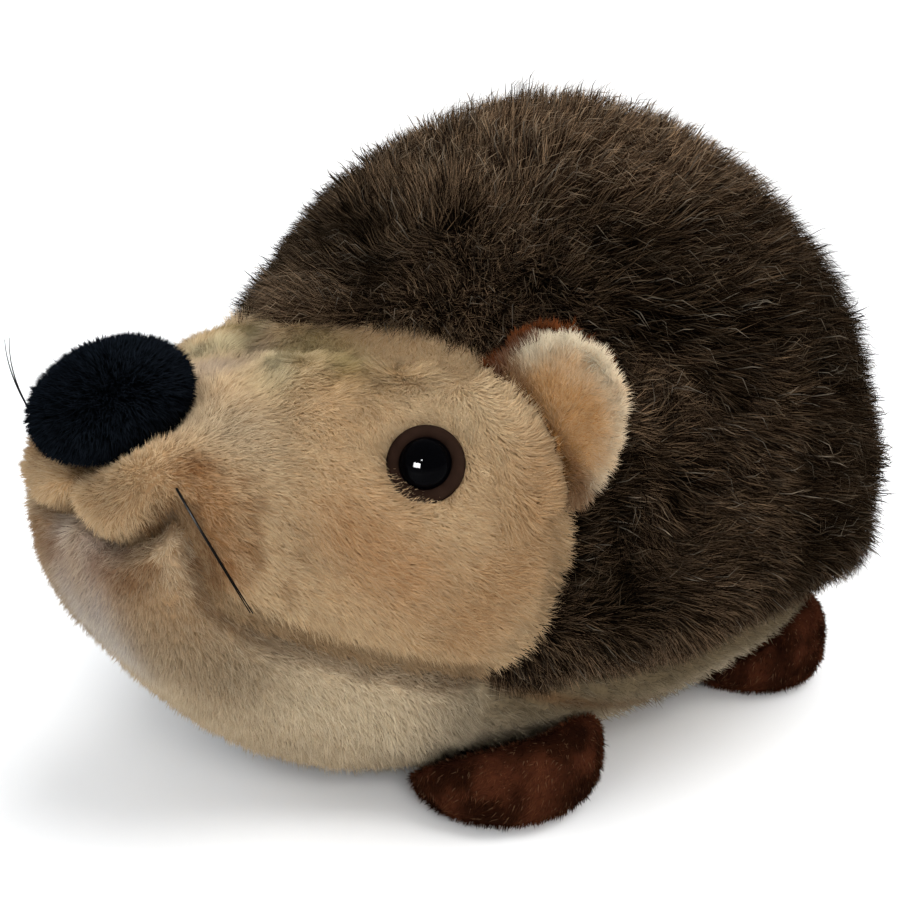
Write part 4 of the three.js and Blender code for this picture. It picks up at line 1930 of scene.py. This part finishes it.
@dataclass
class Ear:
    """A flat ear sewn from a sand front and a russet back."""

    datum: Datum
    body: Skin
    side: Side
    corner: float = 7.4
    taper: float = 6.0
    stretch: float = 1.4
    base_shade: float = 0.9
    filling: Filling = Filling(pressure=2.0, reach=0.4)
    front_count: int = 18000
    front_lock: Lock = Lock(
        3.4, 0.32, lift=0.5, bends=1, uneven=0.4, stray=0.5, gather=0.5, gather_size=2.2
    )
    front_shading: Shading = Shading(root=0.45, tip="#d8c8aa", tip_share=0.45, spread=0.12)
    back_count: int = 6000
    back_lock: Lock = Lock(2.6, 0.34, lift=0.4, bends=1, uneven=0.3, stray=0.4)
    back_shading: Shading = Shading(root=0.45, tip="#7c4a2b", tip_share=0.4, spread=0.2)
    seat: EarSeat = field(init=False)

    def __post_init__(self) -> None:
        """Finds the ear's seat."""
        self.seat = EarSeat.on(self.side)

    def as_sewn(self, places: np.ndarray) -> np.ndarray:
        """Squares the ear's upper corner and tapers its lower end, as it was cut.

        Args:
            places: Places on the ear's cloth.

        Returns:
            The moved places.
        """
        places = places + self.seat.slide * self.seat.down
        along, out = self.seat.shares(places)
        out = np.clip(out, 0.0, 1.0)
        high, low = np.clip(-along, 0.0, 1.0), np.clip(along, 0.0, 1.0)
        down = self.stretch * np.clip(along, -1.0, 1.0) - self.corner * high * out
        inward = self.taper * low * out
        return places + np.outer(down, self.seat.down) - np.outer(inward, self.seat.out)

    def front_dye(self, places: np.ndarray) -> np.ndarray:
        """Colours the front: orange in the middle, cream at the rim, and brown at the base as painted
        shade.

        Args:
            places: Places on the front.

        Returns:
            A linear colour for each place.
        """
        along, out = self.seat.shares(places)
        rim = smoothstep(0.55, 1.0, np.hypot(along, out) + 0.1 * Noise.EAR_RIM.values(places))
        dye = mix(evenly("#c18c52", len(places)), linear("#d6c7ac"), rim)
        # Painted shade: brown at the ear's base, where it meets the head; base_shade sets how much.
        base = self.base_shade * smoothstep(0.34, 0.12, out)
        dye = mix(dye, linear("#6b4421"), base)
        turned = smoothstep(0.82, 0.91, -along - 0.12 * out) * smoothstep(0.78, 0.62, out)
        return mix(dye, linear("#552b14"), turned)

    def back_dye(self, places: np.ndarray) -> np.ndarray:
        """Colours the back in russet."""
        light = 0.5 + 0.5 * Noise.EAR_MOTTLE.values(places)
        return mix(evenly("#381a0d", len(places)), linear("#6a3a1e"), light)

    def build(self) -> tuple[Object, ...]:
        """Makes both faces of the ear.

        Returns:
            The cloths and their piles.
        """
        front = self.cloth("front", 1.0).build(self.front_dye)
        back = self.cloth("back", 0.8).build(self.back_dye)
        return front.piece, back.piece, self.grow_front(front), self.grow_back(back)

    def cloth(self, face: str, pile_depth: float) -> SmallSkin:
        """Describes the cloth of one face of the ear.

        Args:
            face: Front or back.
            pile_depth: How far the cloth lies inside the pile, in millimetres.

        Returns:
            The cloth, not yet built.
        """
        node = f"ear_{self.side.word}_{face}"
        return SmallSkin(
            self.datum, node, f"{node}_cloth", 1.1, pile_depth, self.filling, trim=self.as_sewn
        )

    def outer_lie(self, places: np.ndarray) -> np.ndarray:
        """Combs the pile from the base seam out to the rim.

        Args:
            places: The roots.

        Returns:
            A direction for each root.
        """
        along, out = self.seat.shares(places)
        return (
            np.outer(0.35 + np.maximum(out, 0.0), self.seat.out)
            + np.outer(0.9 * along, self.seat.down)
            + 0.5 * Noise.EAR_CURLS.vectors(places)
        )

    def shown(self, skin: Skin, facing: np.ndarray) -> np.ndarray:
        """Finds the points of a skin that face a way and are outside the body."""
        outside = self.body.depth(skin.places) < 2.0
        return (outside & (skin.normals @ facing > -0.6)).astype(float)

    def grow_front(self, skin: Skin) -> Object:
        """Grows the pile of the front, with a longer fringe at the rim.

        Args:
            skin: The front's cloth.

        Returns:
            The pile.
        """
        shown = self.shown(skin, self.seat.forward)
        roots = planted(skin, self.front_count, shown, self.outer_lie, self.front_dye, 51)
        along, out = self.seat.shares(roots.places)
        rim = smoothstep(0.6, 0.9, np.hypot(along, out)) * (out > 0.1)
        base = smoothstep(0.25, 0.0, out)
        roots.stature = 1.0 + 0.2 * rim + 0.2 * base
        roots.lift = -0.15 * rim
        name = f"ear_{self.side.word}_front_pile"
        pile = Pile(name, "ear_sand", self.front_lock, self.front_shading, SHORT_PILE, 52)
        return pile.grow(roots, self.datum)

    def grow_back(self, skin: Skin) -> Object:
        """Grows the short russet pile of the back.

        Args:
            skin: The back's cloth.

        Returns:
            The pile.
        """
        shown = self.shown(skin, -self.seat.forward)
        roots = planted(skin, self.back_count, shown, self.outer_lie, self.back_dye, 53)
        name = f"ear_{self.side.word}_back_pile"
        pile = Pile(name, "plush_russet", self.back_lock, self.back_shading, PAW_PILE, 54)
        return pile.grow(roots, self.datum)


@dataclass
class Paw:
    """A pad foot in short russet plush, with its toes stitched in."""

    datum: Datum
    body: Skin
    name: str
    toe_out: float
    plump: float = 5.0
    count: int = 9000
    filling: Filling = Filling(pressure=3.0, reach=0.8)
    lock: Lock = Lock(
        1.9, 0.36, lift=0.42, bends=1, uneven=0.3, stray=0.5, gather=0.35, gather_size=2.0
    )
    shading: Shading = Shading(
        root=0.4,
        tip="#6d4128",
        tip_share=0.35,
        spread=0.3,
        fleck="#9a7a5c",
        fleck_share=0.08,
        fleck_strength=0.3,
    )
    stitch_turns: tuple[float, ...] = (0.06, 0.61)
    stitch_stops: tuple[tuple[float, float], ...] = ((-1, 2), (1, 13), (8, 20))
    middle: np.ndarray = field(init=False)
    half: np.ndarray = field(init=False)
    sign: float = field(init=False)
    cloth_middle: np.ndarray = field(init=False)

    def __post_init__(self) -> None:
        """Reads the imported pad's place."""
        ends = [self.datum.to_places(np.array(corner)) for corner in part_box(f"paw_{self.name}")]
        low, high = ends
        self.middle, self.half = (low + high) / 2, (high - low) / 2
        self.sign = float(np.sign(self.middle[0]))

    def toe_way(self, turn: float) -> np.ndarray:
        """Points level from the pad's middle to its toes, turned outwards."""
        angle = (self.toe_out + turn) * self.sign
        return np.array([math.sin(angle), -math.cos(angle), 0.0])

    def stitches(self) -> tuple[Crease, ...]:
        """Places the toe stitches on the front edge of the pad.

        Returns:
            One crease for each stitch.
        """
        creases = []
        for turn in self.stitch_turns:
            way = self.toe_way(turn)
            rim = (self.middle + way * self.half * 1.02) * (1, 1, 0)
            line = tuple(tuple(rim - way * back + (0, 0, up)) for back, up in self.stitch_stops)
            creases.append(Crease(line, depth=2.4, width=1.6, both_sides=False))
        return tuple(creases)

    def plumped(self, places: np.ndarray) -> np.ndarray:
        """Thickens the pad's outer rear corner, which stands up beside the belly.

        Args:
            places: Places on the pad.

        Returns:
            The raised places.
        """
        share = (places - self.middle) / self.half
        outer = 0.6 * share[:, 0] * self.sign + 0.8 * share[:, 1]
        rise = self.plump * smoothstep(0.0, 1.0, outer) * smoothstep(-0.6, 0.7, share[:, 2])
        return places + np.outer(rise, (0.0, 0.0, 1.0))

    def dye(self, places: np.ndarray) -> np.ndarray:
        """Colours the plush in mottled russet, dark in the stitches.

        Args:
            places: Places on the pad.

        Returns:
            A linear colour for each place.
        """
        mottle = Noise.PAW_MOTTLE.values(places) + 0.4 * Noise.FINE_PAW_MOTTLE.values(places)
        dye = mix(evenly("#221009", len(places)), linear("#482618"), smoothstep(-0.6, 0.7, mottle))
        for crease in self.stitches():
            dye = mix(dye, linear("#060201"), 0.95 * crease.depths(places) / crease.depth)
        return dye

    def lie(self, places: np.ndarray) -> np.ndarray:
        """Combs the pile towards the toes, and a little away from the pad's middle.

        Args:
            places: The roots.

        Returns:
            A direction for each root.
        """
        toes = self.toe_way(0.0) + (0.0, 0.0, -0.3)
        away = 0.5 * unit(places - self.cloth_middle)
        return toes + away + 0.3 * Noise.PAW_CURLS.vectors(places)

    def build(self) -> tuple[Object, ...]:
        """Makes the pad and its pile.

        Returns:
            Both pieces.
        """
        node = f"paw_{self.name}"
        cloth = SmallSkin(
            self.datum, node, f"{node}_cloth", 1.8, 1.1, self.filling, self.stitches(), self.plumped
        )
        skin = cloth.build(self.dye)
        self.cloth_middle = skin.places.mean(0)
        outside = self.body.depth(skin.places) < 1.0
        above_sole = skin.places[:, 2] > 0.8
        density = (outside & above_sole).astype(float)
        roots = planted(skin, self.count, density, self.lie, self.dye, 61)
        drawn = sum(crease.depths(roots.places) / crease.depth for crease in self.stitches())
        roots.stature = 1.0 - 0.75 * np.clip(drawn, 0.0, 1.0)
        pile = Pile(f"{node}_pile", "plush_russet", self.lock, self.shading, PAW_PILE, 62)
        return skin.piece, pile.grow(roots, self.datum)


# ---- Eyes and whiskers -----------------------------------------------------


@dataclass
class Eye:
    """A moulded safety eye: a brown ring round a glossy black dome."""

    datum: Datum
    side: Side
    ring_profile: tuple[tuple[float, float], ...] = (
        (4.6, -2.2),
        (4.8, 0.3),
        (5.3, 0.75),
        (6.2, 0.95),
        (7.0, 0.7),
        (7.4, 0.05),
        (7.5, -0.9),
        (7.1, -2.2),
    )
    dome_radius: float = 5.0
    dome_rise: float = 3.7
    dome_base: float = 0.3
    dome_back: float = -1.6
    around: int = 96

    def build(self) -> tuple[Object, ...]:
        """Makes the ring and the dome.

        Returns:
            Both pieces.
        """
        eye = f"eye_{self.side.word}"
        ring = self.spun("eye_ring", self.ring_profile, closed=True)
        self.seated(ring, f"{eye}_ring_moulding", EYE_RING)
        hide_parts(f"{eye}_ring")
        dome = self.spun("eye_dome", self.dome_profile(), closed=False)
        self.seated(dome, f"{eye}_dome", EYE_BLACK)
        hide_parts(f"{eye}_pupil")
        return ring, dome

    def dome_profile(self) -> tuple[tuple[float, float], ...]:
        """Draws half the dome's section: its flat back, its edge and its rise.

        Returns:
            The corners as radius and height, in millimetres.
        """
        base, radius, rise = self.dome_base, self.dome_radius, self.dome_rise
        angles = np.linspace(0.0, math.pi / 2, 20)[:-1]
        arc = [(radius * math.cos(angle), base + rise * math.sin(angle)) for angle in angles]
        back = ((0.0, self.dome_back), (radius * 0.96, self.dome_back))
        return (*back, *arc, (0.0, base + rise))

    def spun(self, name: str, profile: Sequence[tuple[float, float]], closed: bool) -> Object:
        """Spins a profile of (radius, height) round the upright axis.

        Args:
            name: The new object's name.
            profile: The outline, from the bottom round to the top.
            closed: Whether the outline ends where it starts.

        Returns:
            The spun object, in metres about the origin.
        """
        mesh = bpy.data.meshes.new(name)
        corners = [(radius * MM, 0.0, height * MM) for radius, height in profile]
        edges = [(i, i + 1) for i in range(len(corners) - 1)]
        if closed:
            edges.append((len(corners) - 1, 0))
        mesh.from_pydata(corners, edges, [])
        piece = added(name, mesh)
        select_only(piece)
        bpy.ops.object.mode_set(mode="EDIT")
        bpy.ops.mesh.select_all(action="SELECT")
        bpy.ops.mesh.spin(steps=self.around, angle=2 * math.pi, center=(0, 0, 0), axis=(0, 0, 1))
        bpy.ops.mesh.select_all(action="SELECT")
        bpy.ops.mesh.remove_doubles(threshold=0.002 * MM)
        bpy.ops.mesh.normals_make_consistent(inside=False)
        bpy.ops.object.mode_set(mode="OBJECT")
        return piece

    def seated(self, piece: Object, name: str, finish: PlasticFinish) -> None:
        """Turns a spun piece to look the eye's way, and puts it in its seat.

        Args:
            piece: The spun piece.
            name: The piece's name.
            finish: What it is made of.
        """
        seat = EyeSeat.on(self.side)
        turn = Vector(seat.facing).to_track_quat("Z", "Y").to_matrix().to_4x4()
        place = Matrix.Translation(Vector(self.datum.to_metres(seat.middle)))
        piece.data.transform(place @ turn)
        piece.name = piece.data.name = name
        smooth_shaded(piece)
        piece.data.materials.append(finish.material())
        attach(piece, BODY)


@dataclass
class Whisker:
    """Two stiff threads that leave the muzzle at one root."""

    datum: Datum
    side: Side
    root: Place
    bend: Place
    tips: tuple[Place, Place]
    radius: float = 0.24
    tip_share: float = 0.4
    steps: int = 14

    def build(self) -> Object:
        """Makes both threads as one piece.

        Returns:
            The piece.
        """
        threads = [self.thread(index, tip) for index, tip in enumerate(self.tips)]
        select_only(threads[0])
        threads[1].select_set(True)
        bpy.ops.object.join()
        piece = bpy.context.object
        piece.name = piece.data.name = f"whisker_{self.side.word}_threads"
        smooth_shaded(piece)
        piece.data.materials.clear()
        piece.data.materials.append(THREAD.material())
        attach(piece, BODY)
        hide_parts(f"whisker_{self.side.word}")
        return piece

    def thread(self, index: int, tip: Place) -> Object:
        """Makes one thread along a smooth bend that thins to its tip.

        Args:
            index: Which of the two threads this is.
            tip: Where it ends.

        Returns:
            The thread.
        """
        curve = bpy.data.curves.new(f"thread_{index}", "CURVE")
        curve.dimensions = "3D"
        curve.bevel_depth = self.radius * MM
        curve.bevel_resolution = 3
        curve.use_fill_caps = True
        spline = curve.splines.new("POLY")
        spline.points.add(self.steps)
        ends = [np.array(point) for point in (self.root, self.bend, tip)]
        for step, point in enumerate(spline.points):
            t = step / self.steps
            place = (1 - t) ** 2 * ends[0] + 2 * t * (1 - t) * ends[1] + t * t * ends[2]
            point.co = (*self.datum.to_metres(place), 1.0)
            point.radius = 1.0 - (1.0 - self.tip_share) * t * t
        select_only(added(curve.name, curve))
        bpy.ops.object.convert(target="MESH")
        return bpy.context.object


WHISKERS = {
    Side.LEFT: ((25.9, 8.6, 75.5), (36.5, 6.5, 71.0), ((34.3, 17.4, 52.1), (33.7, 18.4, 51.5))),
    Side.RIGHT: ((-25.9, 8.6, 75.5), (-36.4, 6.9, 83.6), ((-46.0, 11.4, 90.1), (-45.4, 12.2, 90.5))),
}
WHISKER_RADII = {Side.LEFT: 0.24, Side.RIGHT: 0.17}
# Each ear's corner, taper, stretch and base_shade, the strength of the painted shade at its base.
EAR_CUTS = {Side.LEFT: (7.4, 6.0, 1.4, 0.9), Side.RIGHT: (0.0, 4.0, 0.0, 0.45)}
PAW_TOES_OUT = {"front": 0.35, "hind": 0.55}


# ---- Studio ----------------------------------------------------------------


class LampKind(Enum):
    """The kinds of lamp in the studio."""

    PANEL = "AREA"
    SKY = "SUN"


@dataclass
class Lamp:
    """A soft light that looks at the toy.

    Its place is in metres. Softness is a panel's width in metres, or the width
    of a patch of sky in radians. Flatness is a panel's height as a share of its
    width, and colour is linear red, green and blue.
    """

    name: str
    kind: LampKind
    place: Place
    softness: float
    power: float
    flatness: float = 1.0
    only_mirrored: bool = False
    colour: tuple[float, float, float] = (1.0, 1.0, 1.0)

    def build(self, target: Vector) -> None:
        """Hangs the light.

        Args:
            target: The point that it looks at, in metres.
        """
        light = bpy.data.lights.new(self.name, self.kind.value)
        light.energy = self.power
        light.color = self.colour
        if self.kind is LampKind.PANEL:
            light.shape = "RECTANGLE"
            light.size = self.softness
            light.size_y = self.softness * self.flatness
        else:
            light.angle = self.softness
        lamp = added(self.name, light)
        lamp.location = self.place
        lamp.rotation_euler = (target - Vector(self.place)).to_track_quat("-Z", "Y").to_euler()
        lamp.visible_glossy = self.only_mirrored
        lamp.visible_diffuse = not self.only_mirrored


@dataclass
class Studio:
    """A pale floor, soft light and the camera. Its sizes are in metres."""

    azimuth: float = math.radians(49.0)
    elevation: float = math.radians(16.5)
    distance: float = 0.342
    lens: float = 60.0
    aim_height: float = 0.060
    aim_behind_tip: float = 0.095
    floor_width: float = 4.0
    rim_share: float = 3.2
    rim_rise: float = 0.8
    floor_grey: float = 0.9
    sky_strength: float = 0.6
    lamps: tuple[Lamp, ...] = (
        Lamp("sky_light", LampKind.SKY, (0.3, 0.5, 1.2), 1.0, 2.8),
        Lamp("key_light", LampKind.PANEL, (0.85, -0.5, 0.6), 0.5, 6.0),
        Lamp("fill_light", LampKind.PANEL, (-0.7, -0.6, 0.45), 0.6, 3.0, colour=(0.72, 0.86, 1.0)),
        Lamp("catch_light", LampKind.PANEL, (0.198, -0.596, 0.242), 0.24, 100.0, 0.62, only_mirrored=True),
        Lamp("catch_spark", LampKind.PANEL, (0.292, -0.472, 0.415), 0.05, 4.0, only_mirrored=True),
    )

    def build(self, datum: Datum) -> None:
        """Sets up the floor, the lights and the camera.

        Args:
            datum: The toy's measuring point.
        """
        target = Vector((0.0, datum.tip + self.aim_behind_tip, self.aim_height))
        self.add_camera(target)
        for lamp in self.lamps:
            lamp.build(target)
        self.add_floor()
        self.add_sky()

    def add_camera(self, target: Vector) -> None:
        """Puts the camera at its azimuth and elevation round the target.

        Args:
            target: The point that it looks at, in metres.
        """
        data = bpy.data.cameras.new("camera")
        data.lens = self.lens
        data.sensor_width = 36.0
        data.clip_start, data.clip_end = 0.01, 60.0
        camera = added("camera", data)
        level = math.cos(self.elevation)
        east, north = math.sin(self.azimuth) * level, -math.cos(self.azimuth) * level
        back = Vector((east, north, math.sin(self.elevation)))
        camera.location = target + back * self.distance
        camera.rotation_euler = (-back).to_track_quat("-Z", "Y").to_euler()
        bpy.context.scene.camera = camera

    def add_floor(self) -> None:
        """Lays a pale floor whose edge rises gently all round."""
        bpy.ops.object.select_all(action="DESELECT")
        bpy.ops.mesh.primitive_plane_add(size=self.floor_width)
        floor = bpy.context.object
        bpy.ops.object.mode_set(mode="EDIT")
        bpy.ops.mesh.select_all(action="SELECT")
        bpy.ops.mesh.extrude_region_move()
        bpy.ops.transform.resize(value=(self.rim_share, self.rim_share, 1.0))
        bpy.ops.transform.translate(value=(0.0, 0.0, self.rim_rise))
        bpy.ops.mesh.delete(type="ONLY_FACE")
        bpy.ops.object.mode_set(mode="OBJECT")
        floor.name = "studio_floor"
        material, shader = Shader(roughness=0.9, specular=0.1).new_material("floor_paper")
        shader.inputs["Base Color"].default_value = (*[self.floor_grey] * 3, 1.0)
        floor.data.materials.append(material)
        floor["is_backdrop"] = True

    def add_sky(self) -> None:
        """Surrounds the scene with even white light."""
        world = bpy.data.worlds.new("studio_sky")
        bpy.context.scene.world = world
        world.use_nodes = True
        sky = world.node_tree.nodes["Background"]
        sky.inputs["Color"].default_value = (1.0, 1.0, 1.0, 1.0)
        sky.inputs["Strength"].default_value = self.sky_strength


# ---- Assembly --------------------------------------------------------------


def corners(box: tuple[Vector, Vector]) -> list[list[float]]:
    """Turns a box into plain lists of numbers."""
    return [list(corner) for corner in box]


def report(*pieces: Object) -> None:
    """Logs each finished piece and how many faces it has."""
    for piece in pieces:
        LOG.info("%s: %d faces", piece.name, len(piece.data.polygons))


def main() -> None:
    """Dresses the toy, piece by piece."""
    logging.basicConfig(level=logging.INFO, format="%(message)s")
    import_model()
    packed_box = corners(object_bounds())
    datum = Datum.from_frame()
    bpy.context.scene.view_settings.view_transform = "Standard"
    Studio().build(datum)
    body = StuffedBody(datum)
    skin = body.build()
    report(skin.piece)
    pile = BodyPile(body)
    for seed, plot in enumerate(PLOTS, start=101):
        report(pile.plant(plot, seed))
    report(*Nose(datum, skin).build())
    for side in Side:
        report(*Ear(datum, skin, side, *EAR_CUTS[side]).build())
        report(*Eye(datum, side).build())
        report(Whisker(datum, side, *WHISKERS[side], WHISKER_RADII[side]).build())
        for place, toe_out in PAW_TOES_OUT.items():
            report(*Paw(datum, skin, f"{place}_{side.word}", toe_out).build())
    {"cad": packed_box, "visual": corners(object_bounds())}


if __name__ == "__main__":
    main()
